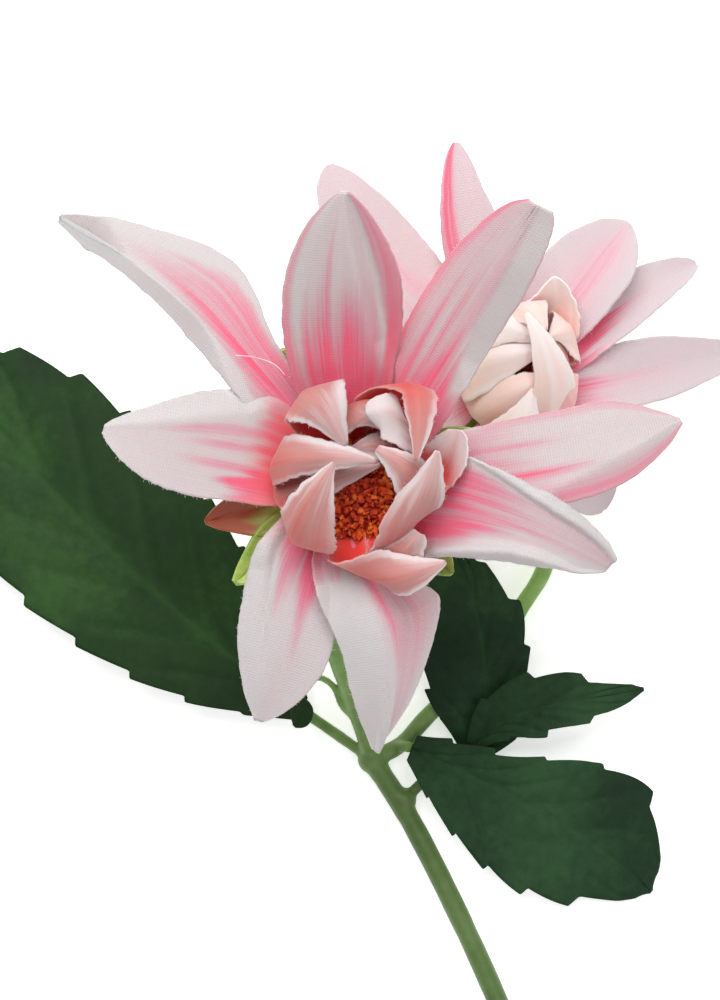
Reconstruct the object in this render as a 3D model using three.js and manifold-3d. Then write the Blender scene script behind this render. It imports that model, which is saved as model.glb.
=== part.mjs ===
// Artificial cut dahlia: two cloth blooms on one forking stem with toothed leaves, laid down.
// Millimetres. X runs to the right, Y from the cut end to the blooms, Z up from the table.
import * as THREE from "three";
import { mergeVertices } from "three/addons/utils/BufferGeometryUtils.js";
import Module from "manifold-3d";

const wasm = await Module();
wasm.setup();

// Cloth and clearances
const CLOTH = 0.7;
const BRACT = 0.8;
const CLEAR = 0.3;
const SOCKET = 0.15;

// Stem radii
const STEM_R = 2.4;
const BRANCH_R = 1.9;
const NECK_R = 1.7;
const STALK_R = 1.3;
const THREAD_R = 0.8;

// Bloom seats and the ways they face
const FRONT_SEAT = [-0.4, 2.6, 66];
const FRONT_AXIS = [0, -0.1, 1];
const BACK_SEAT = [32.4, 24.8, 26];
const BACK_AXIS = [0.15, 0.1, 1];

// Hub sizes, measured along each bloom's own axis from its seat
const OUTER_HUB_R = 10;
const OUTER_HUB = [-1, 1];
const INNER_HUB_R = 11.4;
const INNER_HUB = [2, 3.4];
const DISC_R = 9.4;
const DISC_BASE = 3.7;
const DISC_RISE = 3.4;
const CUP_DEPTH = 10;
const CUP_TOP = -1.5;

// Paint
const OUTER_PINK = 0xf0cdd2;
const INNER_PEACH = 0xe6b3a8;
const DISC_RUST = 0xa5431c;
const CALYX_GREEN = 0x9db552;
const STEM_GREEN = 0x6c9544;
const LEAF_GREEN = 0x27451f;

// Outer petals of the front bloom, from the seat. line: base, two pulls and tip of the midrib.
// face: way the upper side looks at base and tip. left and right: half widths from base to tip.
// fold, cup, rollL and rollR: degrees at base and tip, positive towards the upper side.
// folds: [side, slope, stations of t, s at each]. Past that broken line the sheet slopes off.
const FRONT_OUTER = [
  { line: [[-5.5, 5, 0], [-14.5, 18, 2.5], [-36, 42, 12], [-60, 54.5, 6]],
    face: [[0.1, -0.3, 1], [0.5, 0.4, 1]],
    left: [4, 6.5, 6, 3.3, 2, 0.5], right: [4, 5, 7, 13, 8.4, 0.5],
    fold: [4, 4], cup: [8, 8], rollL: [0, 0], rollR: [0, -10],
    folds: [[-1, -1.5, [0.34, 0.44, 0.57, 0.77, 0.85, 0.92], [-1.1, -0.8, -0.2, -0.1, 0.3, 1]]] },
  { line: [[-1, 6.5, 0.5], [-2.5, 18.5, 2.5], [-4.5, 36.5, 24], [-2.5, 56.5, 34]],
    face: [[0, -0.5, 1], [-0.2, -0.6, 1]],
    left: [4, 8, 10.8, 11.8, 9.6, 1], right: [4, 7, 10.3, 12, 10.5, 1], round: 1.8,
    fold: [4, 4], cup: [5, 5], rollL: [0, -20], rollR: [-10, -20],
    folds: [[1, -1.5, [0.25, 0.33, 0.5, 0.66, 1], [1.1, 1, 0.55, 0.35, 0.05]],
      [1, 1.75, [0.25, 0.33, 0.5, 0.66, 1], [1.3, 1.15, 0.72, 0.52, 0.25]]] },
  { line: [[4, 5, 0.5], [11, 14.5, 2.5], [26, 39.5, 22], [34.5, 54, 32]],
    face: [[0, -0.4, 1], [-0.5, -0.2, 1]],
    left: [4, 7.6, 9.8, 10.7, 9, 2.3], right: [4, 6.5, 6.6, 6.3, 6, 3], round: 2,
    fold: [0, 0], cup: [6, 6], rollL: [0, -20], rollR: [0, 0],
    folds: [[1, -0.55, [0.4, 0.49, 0.56, 0.7, 0.8, 1], [1.1, 0.4, 0.2, 0.05, 0.05, -0.35]]] },
  { line: [[6.5, 1.5, 0], [22.5, 4, 2.5], [46, 5, 11], [64, 13.1, 15]],
    face: [[-0.2, -0.1, 1], [0, 0.3, 1]],
    left: [4, 7.5, 8.6, 9.2, 8.6, 0.5], right: [4, 8, 10, 9.4, 7, 0.5], round: 1.4,
    fold: [0, 0], cup: [8, 8], rollL: [0, -20], rollR: [0, 0],
    folds: [[1, -0.7, [0.5, 0.56, 0.63, 0.72, 0.86, 1], [0.9, 0.7, 0.58, 0.42, 0.28, 0]]] },
  { line: [[5.5, -2.5, -0.5], [15.5, -2, 5], [34, -5, 22], [50.4, -15.8, 9]],
    face: [[-0.2, 0, 1], [0.3, -0.45, 1]], round: 2,
    left: [4, 8.5, 10.2, 8.1, 6.2, 2], right: [4, 10.8, 10.2, 8.8, 6.5, 1.5],
    fold: [0, 0], cup: [8, 4], rollL: [0, 0], rollR: [0, 0],
    folds: [[-1, 0.8, [0.4, 0.48, 0.58, 0.74, 0.89, 1], [-1, -0.88, -0.76, -0.52, -0.48, -0.4]],
      [-1, -2, [0.4, 0.48, 0.58, 0.74, 0.89, 1], [-1.1, -0.98, -0.9, -0.74, -0.74, -0.7]],
      [1, 1.3, [0.15, 0.3, 0.4, 0.52, 0.63, 0.75, 0.9], [1, 0.76, 0.7, 0.61, 0.53, 0.52, 0.8]],
      [1, -2.4, [0.15, 0.3, 0.4, 0.52, 0.63, 0.75, 0.9], [1.1, 0.9, 0.86, 0.79, 0.71, 0.72, 0.95]]] },
  { line: [[-0.5, -6.5, 0], [-8, -15, 6.5], [7, -33.5, 11], [3.5, -54, -8]],
    face: [[0, 0.3, 1], [0.1, -0.2, 1]],
    left: [4, 9.5, 14.2, 18.8, 13.6, 0.8], right: [4, 6.5, 7, 5.5, 5, 0.8], round: 1.9,
    fold: [-12, -20], cup: [0, -5], rollL: [0, 0], rollR: [0, 0],
    folds: [[1, 0.9, [0.15, 0.38, 0.45, 0.55], [0.8, 0.6, 0.8, 1.1]],
      [-1, -0.7, [0.3, 0.58, 0.78, 1], [-0.3, -0.25, -0.12, -0.1]]] },
  { line: [[-4.5, -4.5, -0.5], [-11.5, -11, 0], [-14, -28.5, 3], [-20.5, -48, -8]],
    face: [[0, 0.3, 1], [0, 0, 1]],
    left: [4, 7, 8.5, 10, 9.3, 0.8], right: [4, 8, 10.5, 10, 8, 0.8], round: 1.9,
    fold: [0, 0], cup: [8, 4], rollL: [0, 0], rollR: [0, 0],
    folds: [[1, -0.6, [0.3, 0.45, 0.7, 1], [1.1, 0.6, 0.45, 0.4]]] },
  { line: [[-6.5, 0.5, 0], [-20, 6, 2.5], [-37.5, 7.5, 14], [-50.5, 11.5, 14]],
    face: [[0.2, 0, 1], [0, 0, 1]],
    left: [4, 7.5, 8.6, 9, 7, 0.8], right: [5, 12, 14, 11.5, 6.8, 0.8],
    fold: [0, 0], cup: [6, 6], rollL: [0, 0], rollR: [0, 0],
    folds: [[1, -0.8, [0.25, 0.4, 0.6, 1], [1.1, 0.7, 0.6, 0.5]]] },
];

// Inner petals of the front bloom: they stand on the rim of the disc and most curl in over it.
const SHORT = [2.8, 5.2, 6.6, 5.8, 3.8, 0.4];
const SLIM = [2.4, 3.8, 5, 4.4, 3, 0.4];
const WIDE = [3, 6.2, 7.6, 6.6, 4.2, 0.4];
const SQUARE = [2.6, 4.2, 5.2, 5.4, 5, 1.6];
const DOWN = [0, 0, -1];
const SQUARE_TIP = { round: 2.2 };
const BROAD_TIP = { round: 2 };
const FRONT_INNER = [
  { line: [[-6.4, 7.8, 2.7], [-15, 24, 10], [-10, 21, 27], [-2.5, 8, 17]],
    face: [[0.5, -0.8, 0.3], DOWN], left: [3, 5, 6.5, 6.5, 4.5, 0.5], right: [3, 5.5, 7.5, 8, 6, 0.8] },
  { line: [[-10, 0.9, 2.7], [-26.5, 3.5, 9], [-13, 7, 24], [4, 5, 16]],
    face: [[1, -0.1, 0.3], DOWN], left: [2.4, 3, 3.8, 3.6, 2.8, 0.4], right: SHORT },
  { line: [[-9.4, -3.2, 2.7], [-25, -3.5, 8], [-13, 1, 14], [4.5, 4.5, 9]],
    face: [[1, 0.3, 0.3], DOWN], left: SHORT, right: SHORT },
  { line: [[-7.2, -6.8, 2.7], [-17.5, -17.5, 9], [-13, -6, 26], [-4.7, 4.7, 21]],
    face: [[0.7, 0.7, 0.3], DOWN], left: [2.2, 6, 9, 8, 5.5, 0.5], right: [2.6, 5.5, 6, 4.8, 3.2, 0.4],
    fold: [26, 24] },
  { line: [[-0.9, -10, 2.7], [-3.5, -22, 9], [7.5, -19, 16], [17.5, -15, 11]],
    face: [[0, 1, 0.3], DOWN], left: SHORT, right: [3, 6, 7, 6, 4, 0.5] },
  { line: [[4.9, -9.4, 2.7], [5, -16.5, 7], [9, -15, 12], [12.3, -9.2, 14]],
    face: [[-0.3, 1, 0.3], DOWN], left: [2.4, 3.8, 4.2, 4, 3.4, 1], right: SQUARE, ...SQUARE_TIP },
  { line: [[6.8, -7.2, 2.7], [7.5, -15.5, 8], [13, -5.5, 22], [15.5, 7, 24]],
    face: [[-0.7, 0.7, 0.3], DOWN], left: SHORT, right: SHORT },
  { line: [[9.7, -2.3, 2.7], [18, -6, 8], [14, 1, 22], [3.6, 7.4, 18]],
    face: [[-1, 0.2, 0.3], DOWN], left: [2.8, 4.4, 5, 4.8, 3.8, 1], right: [2.8, 5.2, 6.6, 5.8, 3.8, 0.8] },
  { line: [[10, 0.9, 2.7], [15.5, 0, 6], [19, 4, 10], [19.5, 11.5, 11]],
    face: [[-0.8, 0.1, 0.5], [-0.3, 0.1, 0.9]], left: SQUARE, right: SQUARE, ...SQUARE_TIP },
  { line: [[5.8, 9, 2.7], [6.5, 22, 9], [14, 28, 28], [11.3, 5, 24]],
    face: [[-0.3, -0.9, 0.5], DOWN], left: [3, 8, 6, 3, 3, 0.5], right: [3, 4, 4.5, 4.5, 4, 0.5] },
  { line: [[9, 5.7, 2.7], [13, 10, 9], [9.5, 16.5, 23], [1.5, 14.5, 18]],
    face: [[-0.8, -0.5, 0.3], DOWN], left: [2.4, 3.4, 4, 4.4, 4.2, 1.6], right: SQUARE, ...SQUARE_TIP },
  { line: [[-0.9, 10, 2.7], [-2.5, 20, 7], [2.5, 18.5, 18], [5.5, 11, 13]],
    face: [[0, -1, 0.3], DOWN], left: [2.8, 5.2, 7.5, 8, 5, 0.4], right: SHORT },
  { line: [[8.4, 5.3, 2.7], [13.5, 7.5, 7], [7.5, 9.5, 13], [-1.5, 7.5, 9]],
    face: [[-0.8, -0.5, 0.3], DOWN], left: SLIM, right: SLIM },
];
const INNER_BEND = { fold: [14, 24], cup: [8, 12], round: 1.2 };

// Outer petals of the back bloom, from its seat, some of them bent down to the table.
const BROAD = [4, 7, 9, 9, 7, 0.8];
const NARROW = [4, 6, 7, 7, 5, 0.8];
const NARROWER = [4, 5.4, 5.7, 5.6, 4.3, 0.8];
const BACK_OUTER = [
  { line: [[-5, 7, 0], [-18, 14, 4], [-33, 31.5, 12], [-39, 47, 6]],
    face: [[0.2, 0.2, 1], [0.2, 0.2, 1]], left: [4, 8, 9.5, 9.5, 7.5, 0.8], right: BROAD },
  { line: [[-1, 8, 0], [-3, 18, 4], [-11, 30, 16], [-12, 51, 12]],
    face: [[0.2, 0, 1], [0.2, -0.2, 1]], left: NARROW, right: NARROW },
  { line: [[4.5, 6.5, 0], [10, 14, 4], [16, 23, 14], [26, 35.5, -4]],
    face: [[-0.1, 0.1, 1], [0.3, 0.4, 1]],
    left: [4, 8, 10, 10.5, 8, 0.8], right: [4, 6, 7.5, 8, 7.5, 0.8] },
  { line: [[7.5, 3.5, 0], [15, 10, 4], [28, 22, 4], [42, 27.5, -16]],
    face: [[0, 0, 1], [0.3, 0.3, 1]], left: NARROWER, right: NARROWER },
  { line: [[8, -1, 0], [16, 0, 4], [34.5, 4.5, 0], [54, 8.5, -25.7]],
    face: [[0, 0, 1], [0.2, 0, 1]], left: NARROW, right: NARROW },
  { line: [[5, -6, 0], [10.5, -12, 4], [16.5, -18.5, -2], [22, -27, -22]],
    face: [[0, 0, 1], [0.3, -0.3, 1]],
    left: [4, 6.5, 8, 8, 6.5, 0.8], right: [4, 6.5, 8, 8, 6.5, 0.8] },
  { line: [[-1.5, -8, 0], [-3.5, -15, 4], [-5, -25, 2], [-5, -34.5, -14]],
    face: [[0, 0, 1], [0, -0.2, 1]], left: BROAD, right: BROAD },
  { line: [[-8, -1.5, 0], [-16, -4, 4], [-26, -8, 12], [-38, -8.5, 6]],
    face: [[0, 0, 1], [-0.2, 0, 1]], left: BROAD, right: BROAD },
];
const BACK_BEND = { fold: [4, 4], cup: [10, 10], round: 2.1 };

// Inner petals of the back bloom, in its own frame. The first leans out, the others curl in.
const BACK_INNER = [
  { line: [[5, 8.7, 2.7], [8, 13.5, 6], [8, 17, 13], [6.5, 21, 17]],
    face: [[-0.5, -0.9, 0.6], [-0.2, -0.4, 0.9]], left: WIDE, right: WIDE, ...BROAD_TIP },
  { line: [[9.6, 2.8, 2.7], [13, 4, 8], [10, 6, 15], [4, 7, 17]],
    face: [[-0.9, -0.3, 0.3], DOWN], left: SHORT, right: SHORT },
  { line: [[8.7, -5, 2.7], [15, -8, 8], [11, -4, 18], [4, 1, 16]],
    face: [[-0.9, 0.5, 0.3], DOWN], left: SHORT, right: SHORT },
  { line: [[4.6, -8.9, 2.7], [8, -12, 10], [7, -3, 27], [-0.5, 12.5, 21]],
    face: [[-0.4, 0.9, 0.3], DOWN], left: SHORT, right: SLIM },
  { line: [[-2.6, -9.6, 2.7], [-5, -19, 9], [-1, -14, 20], [1.5, -3, 17]],
    face: [[0.2, 1, 0.3], DOWN], left: SHORT, right: SHORT },
  { line: [[-7.9, -6.1, 2.7], [-13, -10, 8], [-7, -5, 19], [6, 0, 16]],
    face: [[0.8, 0.6, 0.3], DOWN], left: WIDE, right: SHORT, ...BROAD_TIP },
  { line: [[-9.9, 1, 2.7], [-18, 2, 9], [-10, 3, 21], [6, 6, 15]],
    face: [[1, -0.1, 0.3], DOWN], left: WIDE, right: SHORT },
  { line: [[-7.4, 6.7, 2.7], [-14, 13, 9], [-7, 13, 22], [3, 7, 16]],
    face: [[0.7, -0.7, 0.3], DOWN], left: SHORT, right: SHORT },
  { line: [[-1.7, 9.8, 2.7], [-3, 17, 9], [0, 18, 21], [4, 9, 19]],
    face: [[0.2, -1, 0.3], DOWN], left: SHORT, right: SHORT },
  { line: [[8, 6, 2.7], [14, 10.5, 8], [12, 12, 18], [5, 8, 17]],
    face: [[-0.8, -0.6, 0.3], DOWN], left: SHORT, right: SHORT },
];

// Bracts under each bloom: their turns round the axis in degrees.
const FRONT_BRACTS = [18, 68, 119, 144, 193, 218, 265, 317];
const BACK_BRACTS = [10, 55, 100, 145, 190, 235, 280, 325];
const SHORT_BRACT = [317, 0.82]; // one bract is cut shorter: its turn, and its share of the full length
const BRACT_LINE = [[7.6, -1.9], [14, -4.5], [22, -4.5], [32, -1.5]];
const BRACT_HALF = [2, 4.2, 6, 6, 4, 0.5];

// Leaves lie low under the blooms. teeth: notches on a side. depth: how far a tooth stands out.
const LEAVES = {
  leaf_left_large: { line: [[-13.5, -46.5, 6], [-36.5, -29.5, 14], [-72.5, 2, 14], [-97.5, 37, 0.45]],
    left: [3, 13, 19, 21, 17, 0.5], right: [3, 15, 22, 24, 19, 0.5], teeth: 9, depth: 1.9,
    fold: [12, 8], cup: [-12, -16] },
  leaf_left_small: { line: [[-13.5, -43.8, 14], [-12.5, -46, 14], [-12.5, -48, 13], [-14.5, -50, 12]],
    left: [1, 2, 2.5, 2.5, 2, 0.4], right: [1, 2, 2.5, 2.5, 2, 0.4], teeth: 2, depth: 0.3,
    fold: [6, 6], cup: [0, 0] },
  leaf_right_long: { line: [[24.6, -57.8, 3], [31.5, -44.5, 10], [27, -22.5, 14], [19, -6.5, 0.45]],
    left: [2, 11, 13, 12, 8, 0.5], right: [2, 9, 9, 9.5, 4.5, 0.5], teeth: 6, depth: 1.6,
    fold: [4, 4], cup: [-4, -6] },
  leaf_right_narrow: { line: [[25.5, -54.9, 6], [31.5, -45.5, 12], [46.5, -44.5, 18], [63, -42, 8]],
    left: [2, 6, 7.5, 6.5, 3, 0.4], right: [1.6, 3.5, 5.5, 5, 3.8, 0.4], teeth: 4, depth: 1.6,
    fold: [8, 8], cup: [0, -10] },
  leaf_right_broad: { line: [[11.5, -55, 9], [24.5, -60.5, 9], [46.5, -71, 8], [65.5, -88, 0.45]],
    left: [3, 5.5, 8, 14.5, 16.5, 0.5], right: [3, 10, 15, 17, 13, 0.5], teeth: 6, depth: 1.8,
    fold: [10, 6], cup: [-6, -12] },
};

// Stem and its branches: [radius, sides, steps, points]
const STEM_RUNS = [
  [STEM_R, 10, 8, [[50, -165, 2.5], [32, -115, 3], [12, -73, 3.2], [2.7, -58, 3.6]]],
  [NECK_R, 8, 11, [[2.7, -58, 3.6], [-2.2, -43.2, 14], [-5.8, -32, 24], [-6, -18, 36],
    [-3, -4, 47], [-0.2, 4.2, 54], [-0.3, 3.4, 60.5]]],
  [BRANCH_R, 8, 15, [[2.7, -58, 3.6], [9, -54.8, 3.6], [15.6, -47.9, 3.2], [30.8, -33.5, 3.2],
    [35.8, -24.5, 3.4], [41.3, -15, 4.2], [43.2, 2, 5.5], [37.5, 15, 8], [32, 22.5, 13],
    [31.6, 24.1, 20.5]]],
  [STALK_R, 6, 4, [[2.7, -58, 3.6], [-5, -52.5, 5], [-13, -46.9, 6]]],
  [THREAD_R, 6, 8, [[-0.6, -49, 8.5], [-4, -45.5, 12.5], [-6, -40.8, 15], [-9.2, -39, 16],
    [-12.3, -40.6, 15.4], [-13.4, -43.4, 14.2]]],
  [STALK_R, 6, 4, [[9.5, -67.5, 3.4], [16.1, -61.6, 3.2], [23.8, -58.2, 3.1]]],
  [THREAD_R, 6, 3, [[22, -59, 3.4], [24.3, -56.4, 5.2], [25.2, -55.2, 5.9]]],
  [STALK_R, 6, 3, [[8.6, -55, 5], [10.2, -54.8, 7.6], [11.3, -55, 9]]],
];
const KNUCKLES = [[2.7, -58, 3.6, 3.3], [9.8, -67.2, 3.3, 2.9]];

function smooth(x) {
  const c = Math.min(Math.max(x, 0), 1);
  return c * c * (3 - 2 * c);
}

function mix(pair, t) {
  return pair[0] + (pair[1] - pair[0]) * t;
}

// A repeatable draw of numbers from 0 to 1
function draw(seed) {
  let state = seed;
  return () => {
    state = (state * 16807) % 2147483647;
    return state / 2147483647;
  };
}

// Smooth run of half widths through evenly spaced stations, with a set roundness at the tip
function halfWidth(v, t, round) {
  const n = v.length - 1;
  const i = Math.min(Math.floor(t * n), n - 1);
  const u = t * n - i;
  const m0 = i > 0 ? (v[i + 1] - v[i - 1]) / 2 : v[1] - v[0];
  const m1 = i < n - 1 ? (v[i + 2] - v[i]) / 2 : (v[n] - v[n - 1]) * round;
  const h = (1 + 2 * u) * (1 - u) ** 2 * v[i] + u * (1 - u) ** 2 * m0
    + u * u * (3 - 2 * u) * v[i + 1] + u * u * (u - 1) * m1;
  return Math.max(h, 0.4);
}

// How far out a tooth stands at t: a slow rise to its point and a quick fall to the notch
function tooth(t, count) {
  const phase = (t * count) % 1;
  return phase < 0.8 ? phase / 0.8 : (1 - phase) / 0.2;
}

function curvePoint(line, t) {
  const w = [(1 - t) ** 3, 3 * (1 - t) ** 2 * t, 3 * (1 - t) * t * t, t ** 3];
  return new THREE.Vector3(...[0, 1, 2].map((k) => line.reduce((s, p, i) => s + p[k] * w[i], 0)));
}

function curveSlope(line, t) {
  const w = [(1 - t) ** 2, 2 * (1 - t) * t, t * t];
  const d = [0, 1, 2].map((k) => w.reduce((s, f, i) => s + f * (line[i + 1][k] - line[i][k]), 0));
  return new THREE.Vector3(...d).normalize();
}

// Value at x of the broken line through the points (xs, ys), level before its first point and after its last
function broken(xs, ys, x) {
  const i = xs.findIndex((station) => x <= station);
  if (i === 0) return ys[0];
  if (i < 0) return ys[ys.length - 1];
  return mix([ys[i - 1], ys[i]], (x - xs[i - 1]) / (xs[i] - xs[i - 1]));
}

// Height that a blade's folds give at s, from -1 at the left margin to 1, and t, from base to tip
function foldLift(blade, s, t, width) {
  return (blade.folds ?? []).reduce((lift, [side, slope, stations, line]) => (
    lift + slope * Math.max(0, side * (s - broken(stations, line, t))) * width
  ), 0);
}

// Middle surface of a blade as rows of points from base to tip, left to right
function bladeRows(blade, stations, cols, grow) {
  const steps = cols * 4;
  return stations.map((t) => {
    const at = curvePoint(blade.line, t);
    const along = curveSlope(blade.line, t);
    const faces = blade.face.map((f) => new THREE.Vector3(...f).normalize());
    const face = faces[0].lerp(faces[1], smooth(t));
    const side = along.clone().cross(face).normalize();
    const up = side.clone().cross(along);
    const row = new Array(2 * cols + 1);
    row[cols] = at;
    for (const [sign, half, roll] of [[-1, blade.left, blade.rollL], [1, blade.right, blade.rollR]]) {
      const plain = halfWidth(half, t, blade.round ?? 1.6);
      const stand = (blade.depth ?? 0) * Math.min(1, plain / 6) * smooth(t * 6);
      const saw = blade.teeth ? tooth(t, blade.teeth) : 0;
      const width = plain + stand * (saw - 0.3) + grow;
      let x = 0;
      let z = 0;
      for (let i = 1; i <= steps; i += 1) {
        const q = (i - 0.5) / steps;
        const bend = mix(blade.fold, t) * smooth(q / 0.2) + mix(blade.cup, t) * q
          + mix(roll ?? [0, 0], t) * smooth((q - 0.4) / 0.6);
        x += (Math.cos(bend * Math.PI / 180) * width) / steps;
        z += (Math.sin(bend * Math.PI / 180) * width) / steps;
        if (i % 4 === 0) {
          const lift = foldLift(blade, (sign * i) / steps, t, width);
          row[cols + sign * (i / 4)] = at.clone().addScaledVector(side, sign * x)
            .addScaledVector(up, z + lift).addScaledVector(along, 0.8 * stand * saw * (i / steps));
        }
      }
    }
    return row;
  });
}

function solidFrom(points, faces) {
  const mesh = new wasm.Mesh({
    numProp: 3,
    vertProperties: Float32Array.from(points.flatMap((p) => [p.x, p.y, p.z])),
    triVerts: Uint32Array.from(faces.flat()),
  });
  return new wasm.Manifold(mesh);
}

// Closed sheet round a blade's middle surface, split into the same triangles on both faces
function bladeSolid(blade, stations, cols, thick, grow = 0) {
  const rows = bladeRows(blade, stations, cols, grow);
  const last = rows.length - 1;
  const across = rows[0].length;
  const half = thick / 2 + grow;
  const upper = [];
  const lower = [];
  rows.forEach((row, r) => row.forEach((p, c) => {
    const ds = row[Math.min(c + 1, across - 1)].clone().sub(row[Math.max(c - 1, 0)]);
    const dt = rows[Math.min(r + 1, last)][c].clone().sub(rows[Math.max(r - 1, 0)][c]);
    const normal = ds.cross(dt).normalize();
    upper.push(p.clone().addScaledVector(normal, half));
    lower.push(p.clone().addScaledVector(normal, -half));
  }));
  const n = upper.length;
  const faces = [];
  for (let r = 0; r < last; r += 1) {
    for (let c = 0; c < across - 1; c += 1) {
      const [a, b] = [r * across + c, r * across + c + 1];
      const [d, e] = [a + across, b + across];
      faces.push([a, b, e], [a, e, d], [n + a, n + e, n + b], [n + a, n + d, n + e]);
    }
  }
  const rim = [];
  for (let c = 0; c < across - 1; c += 1) rim.push(c);
  for (let r = 0; r < last; r += 1) rim.push(r * across + across - 1);
  for (let c = across - 1; c > 0; c -= 1) rim.push(last * across + c);
  for (let r = last; r > 0; r -= 1) rim.push(r * across);
  rim.forEach((a, i) => {
    const b = rim[(i + 1) % rim.length];
    faces.push([b, a, n + a], [b, n + a, n + b]);
  });
  return solidFrom(upper.concat(lower), faces);
}

function evenStations(rows) {
  return Array.from({ length: rows + 1 }, (_, i) => i / rows);
}

// Stations at every tooth point and notch
function toothStations(count) {
  const list = [0];
  for (let i = 0; i < count; i += 1) {
    list.push((i + 0.8) / count);
    list.push((i + 1) / count);
  }
  return list;
}

function solidOf(geometry) {
  geometry.deleteAttribute("normal");
  geometry.deleteAttribute("uv");
  const merged = mergeVertices(geometry, 1e-4);
  const mesh = new wasm.Mesh({
    numProp: 3,
    vertProperties: Float32Array.from(merged.attributes.position.array),
    triVerts: Uint32Array.from(merged.index.array),
  });
  return new wasm.Manifold(mesh);
}

function tube([radius, sides, steps, points], grow = 0) {
  const shape = new THREE.Shape();
  shape.absarc(0, 0, radius + grow, 0, 2 * Math.PI, false);
  const path = new THREE.CatmullRomCurve3(points.map((p) => new THREE.Vector3(...p)), false, "centripetal");
  const options = { steps, curveSegments: sides / 2, bevelEnabled: false, extrudePath: path };
  return solidOf(new THREE.ExtrudeGeometry(shape, options));
}

function fuse(list) {
  return list.reduce((sum, item) => sum.add(item));
}

// The largest connected piece: a cut can leave loose scraps of cloth behind
function whole(solid) {
  const pieces = solid.decompose();
  return pieces.reduce((best, item) => (item.volume() > best.volume() ? item : best));
}

// The bloom's own frame: its axis is local Z, its seat is the origin
function bloomFrame(seat, axis) {
  const turn = new THREE.Quaternion().setFromUnitVectors(
    new THREE.Vector3(0, 0, 1), new THREE.Vector3(...axis).normalize());
  return new THREE.Matrix4().compose(new THREE.Vector3(...seat), turn, new THREE.Vector3(1, 1, 1));
}

function moved(blade, seat) {
  return { ...blade, line: blade.line.map((p) => p.map((v, k) => v + seat[k])) };
}

function framed(blade, frame) {
  const put = (p) => new THREE.Vector3(...p).applyMatrix4(frame).toArray();
  const aim = (p) => new THREE.Vector3(...p).transformDirection(frame).toArray();
  return { ...blade, line: blade.line.map(put), face: blade.face.map(aim) };
}

function lathe(profile, sides, frame) {
  const geometry = new THREE.LatheGeometry(profile.map((p) => new THREE.Vector2(...p)), sides);
  geometry.rotateX(Math.PI / 2);
  return solidOf(geometry.applyMatrix4(frame));
}

function hub(radius, [low, high], frame, grow = 0) {
  const profile = [[0, low - grow], [radius + grow, low - grow], [radius + grow, high + grow],
    [0, high + grow]];
  return lathe(profile, 20, frame);
}

// Dome of the disc with a raised point at every second corner of its rings
function discSolid(frame) {
  const rings = 5;
  const around = 20;
  const random = draw(173);
  const points = [new THREE.Vector3(0, 0, DISC_BASE + DISC_RISE)];
  for (let i = 1; i <= rings; i += 1) {
    const r = (DISC_R * i) / rings;
    for (let j = 0; j < around; j += 1) {
      const turn = (2 * Math.PI * (j + i / 2)) / around;
      const bump = i < rings ? 1.3 * random() : 0;
      const z = DISC_BASE + 0.9 + (DISC_RISE - 0.9) * (1 - (i / rings) ** 2) + bump;
      points.push(new THREE.Vector3(r * Math.cos(turn), r * Math.sin(turn), z));
    }
  }
  for (let j = 0; j < around; j += 1) {
    const turn = (2 * Math.PI * (j + rings / 2)) / around;
    points.push(new THREE.Vector3(DISC_R * Math.cos(turn), DISC_R * Math.sin(turn), DISC_BASE));
  }
  points.push(new THREE.Vector3(0, 0, DISC_BASE));
  const at = (i, j) => 1 + (i - 1) * around + (j % around);
  const faces = [];
  for (let j = 0; j < around; j += 1) {
    faces.push([0, at(1, j), at(1, j + 1)]);
    for (let i = 1; i < rings; i += 1) {
      faces.push([at(i, j), at(i + 1, j), at(i, j + 1)], [at(i, j + 1), at(i + 1, j), at(i + 1, j + 1)]);
    }
    faces.push([at(rings, j), at(rings + 1, j), at(rings + 1, j + 1)]);
    faces.push([at(rings, j), at(rings + 1, j + 1), at(rings, j + 1)]);
    faces.push([points.length - 1, at(rings + 1, j + 1), at(rings + 1, j)]);
  }
  return solidFrom(points.map((p) => p.applyMatrix4(frame)), faces);
}

function calyxSolid(turns, frame, neck) {
  const profile = [[0, -CUP_DEPTH], [3.2, -CUP_DEPTH], [4.6, -CUP_DEPTH + 1.2], [6.2, -5.6],
    [9, -2.4], [9, CUP_TOP], [0, CUP_TOP]];
  const bracts = turns.map((angle) => {
    const a = (angle * Math.PI) / 180;
    const reach = angle === SHORT_BRACT[0] ? SHORT_BRACT[1] : 1;
    const line = BRACT_LINE.map(([r, z]) => [reach * r * Math.cos(a), reach * r * Math.sin(a), z]);
    const face = [[0, 0, 1], [0, 0, 1]];
    const blade = { line, face, left: BRACT_HALF, right: BRACT_HALF, fold: [14, 10], cup: [0, 0] };
    return bladeSolid(framed(blade, frame), evenStations(4), 1, BRACT);
  });
  return fuse([lathe(profile, 12, frame), ...bracts]).subtract(neck);
}

function leafSolid(leaf) {
  const blade = { face: [[0, 0, 1], [0, 0, 1]], round: 1.2, ...leaf };
  const ribPoints = [0, 0.3, 0.55, 0.8].map((t) => {
    const p = curvePoint(leaf.line, t);
    return [p.x, p.y, p.z - 0.3];
  });
  const ribRadius = leaf.teeth > 3 ? 0.8 : 0.5;
  return bladeSolid(blade, toothStations(leaf.teeth), 2, CLOTH)
    .add(tube([ribRadius, 4, 5, ribPoints]));
}

function meshOf(name, solid, color, roughness) {
  const data = solid.getMesh();
  const geometry = new THREE.BufferGeometry();
  geometry.setAttribute("position", new THREE.BufferAttribute(data.vertProperties, 3));
  geometry.setIndex(new THREE.BufferAttribute(data.triVerts, 1));
  geometry.computeVertexNormals();
  const material = new THREE.MeshStandardMaterial({ color, roughness, metalness: 0 });
  const mesh = new THREE.Mesh(geometry, material);
  mesh.name = name;
  return mesh;
}

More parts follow.
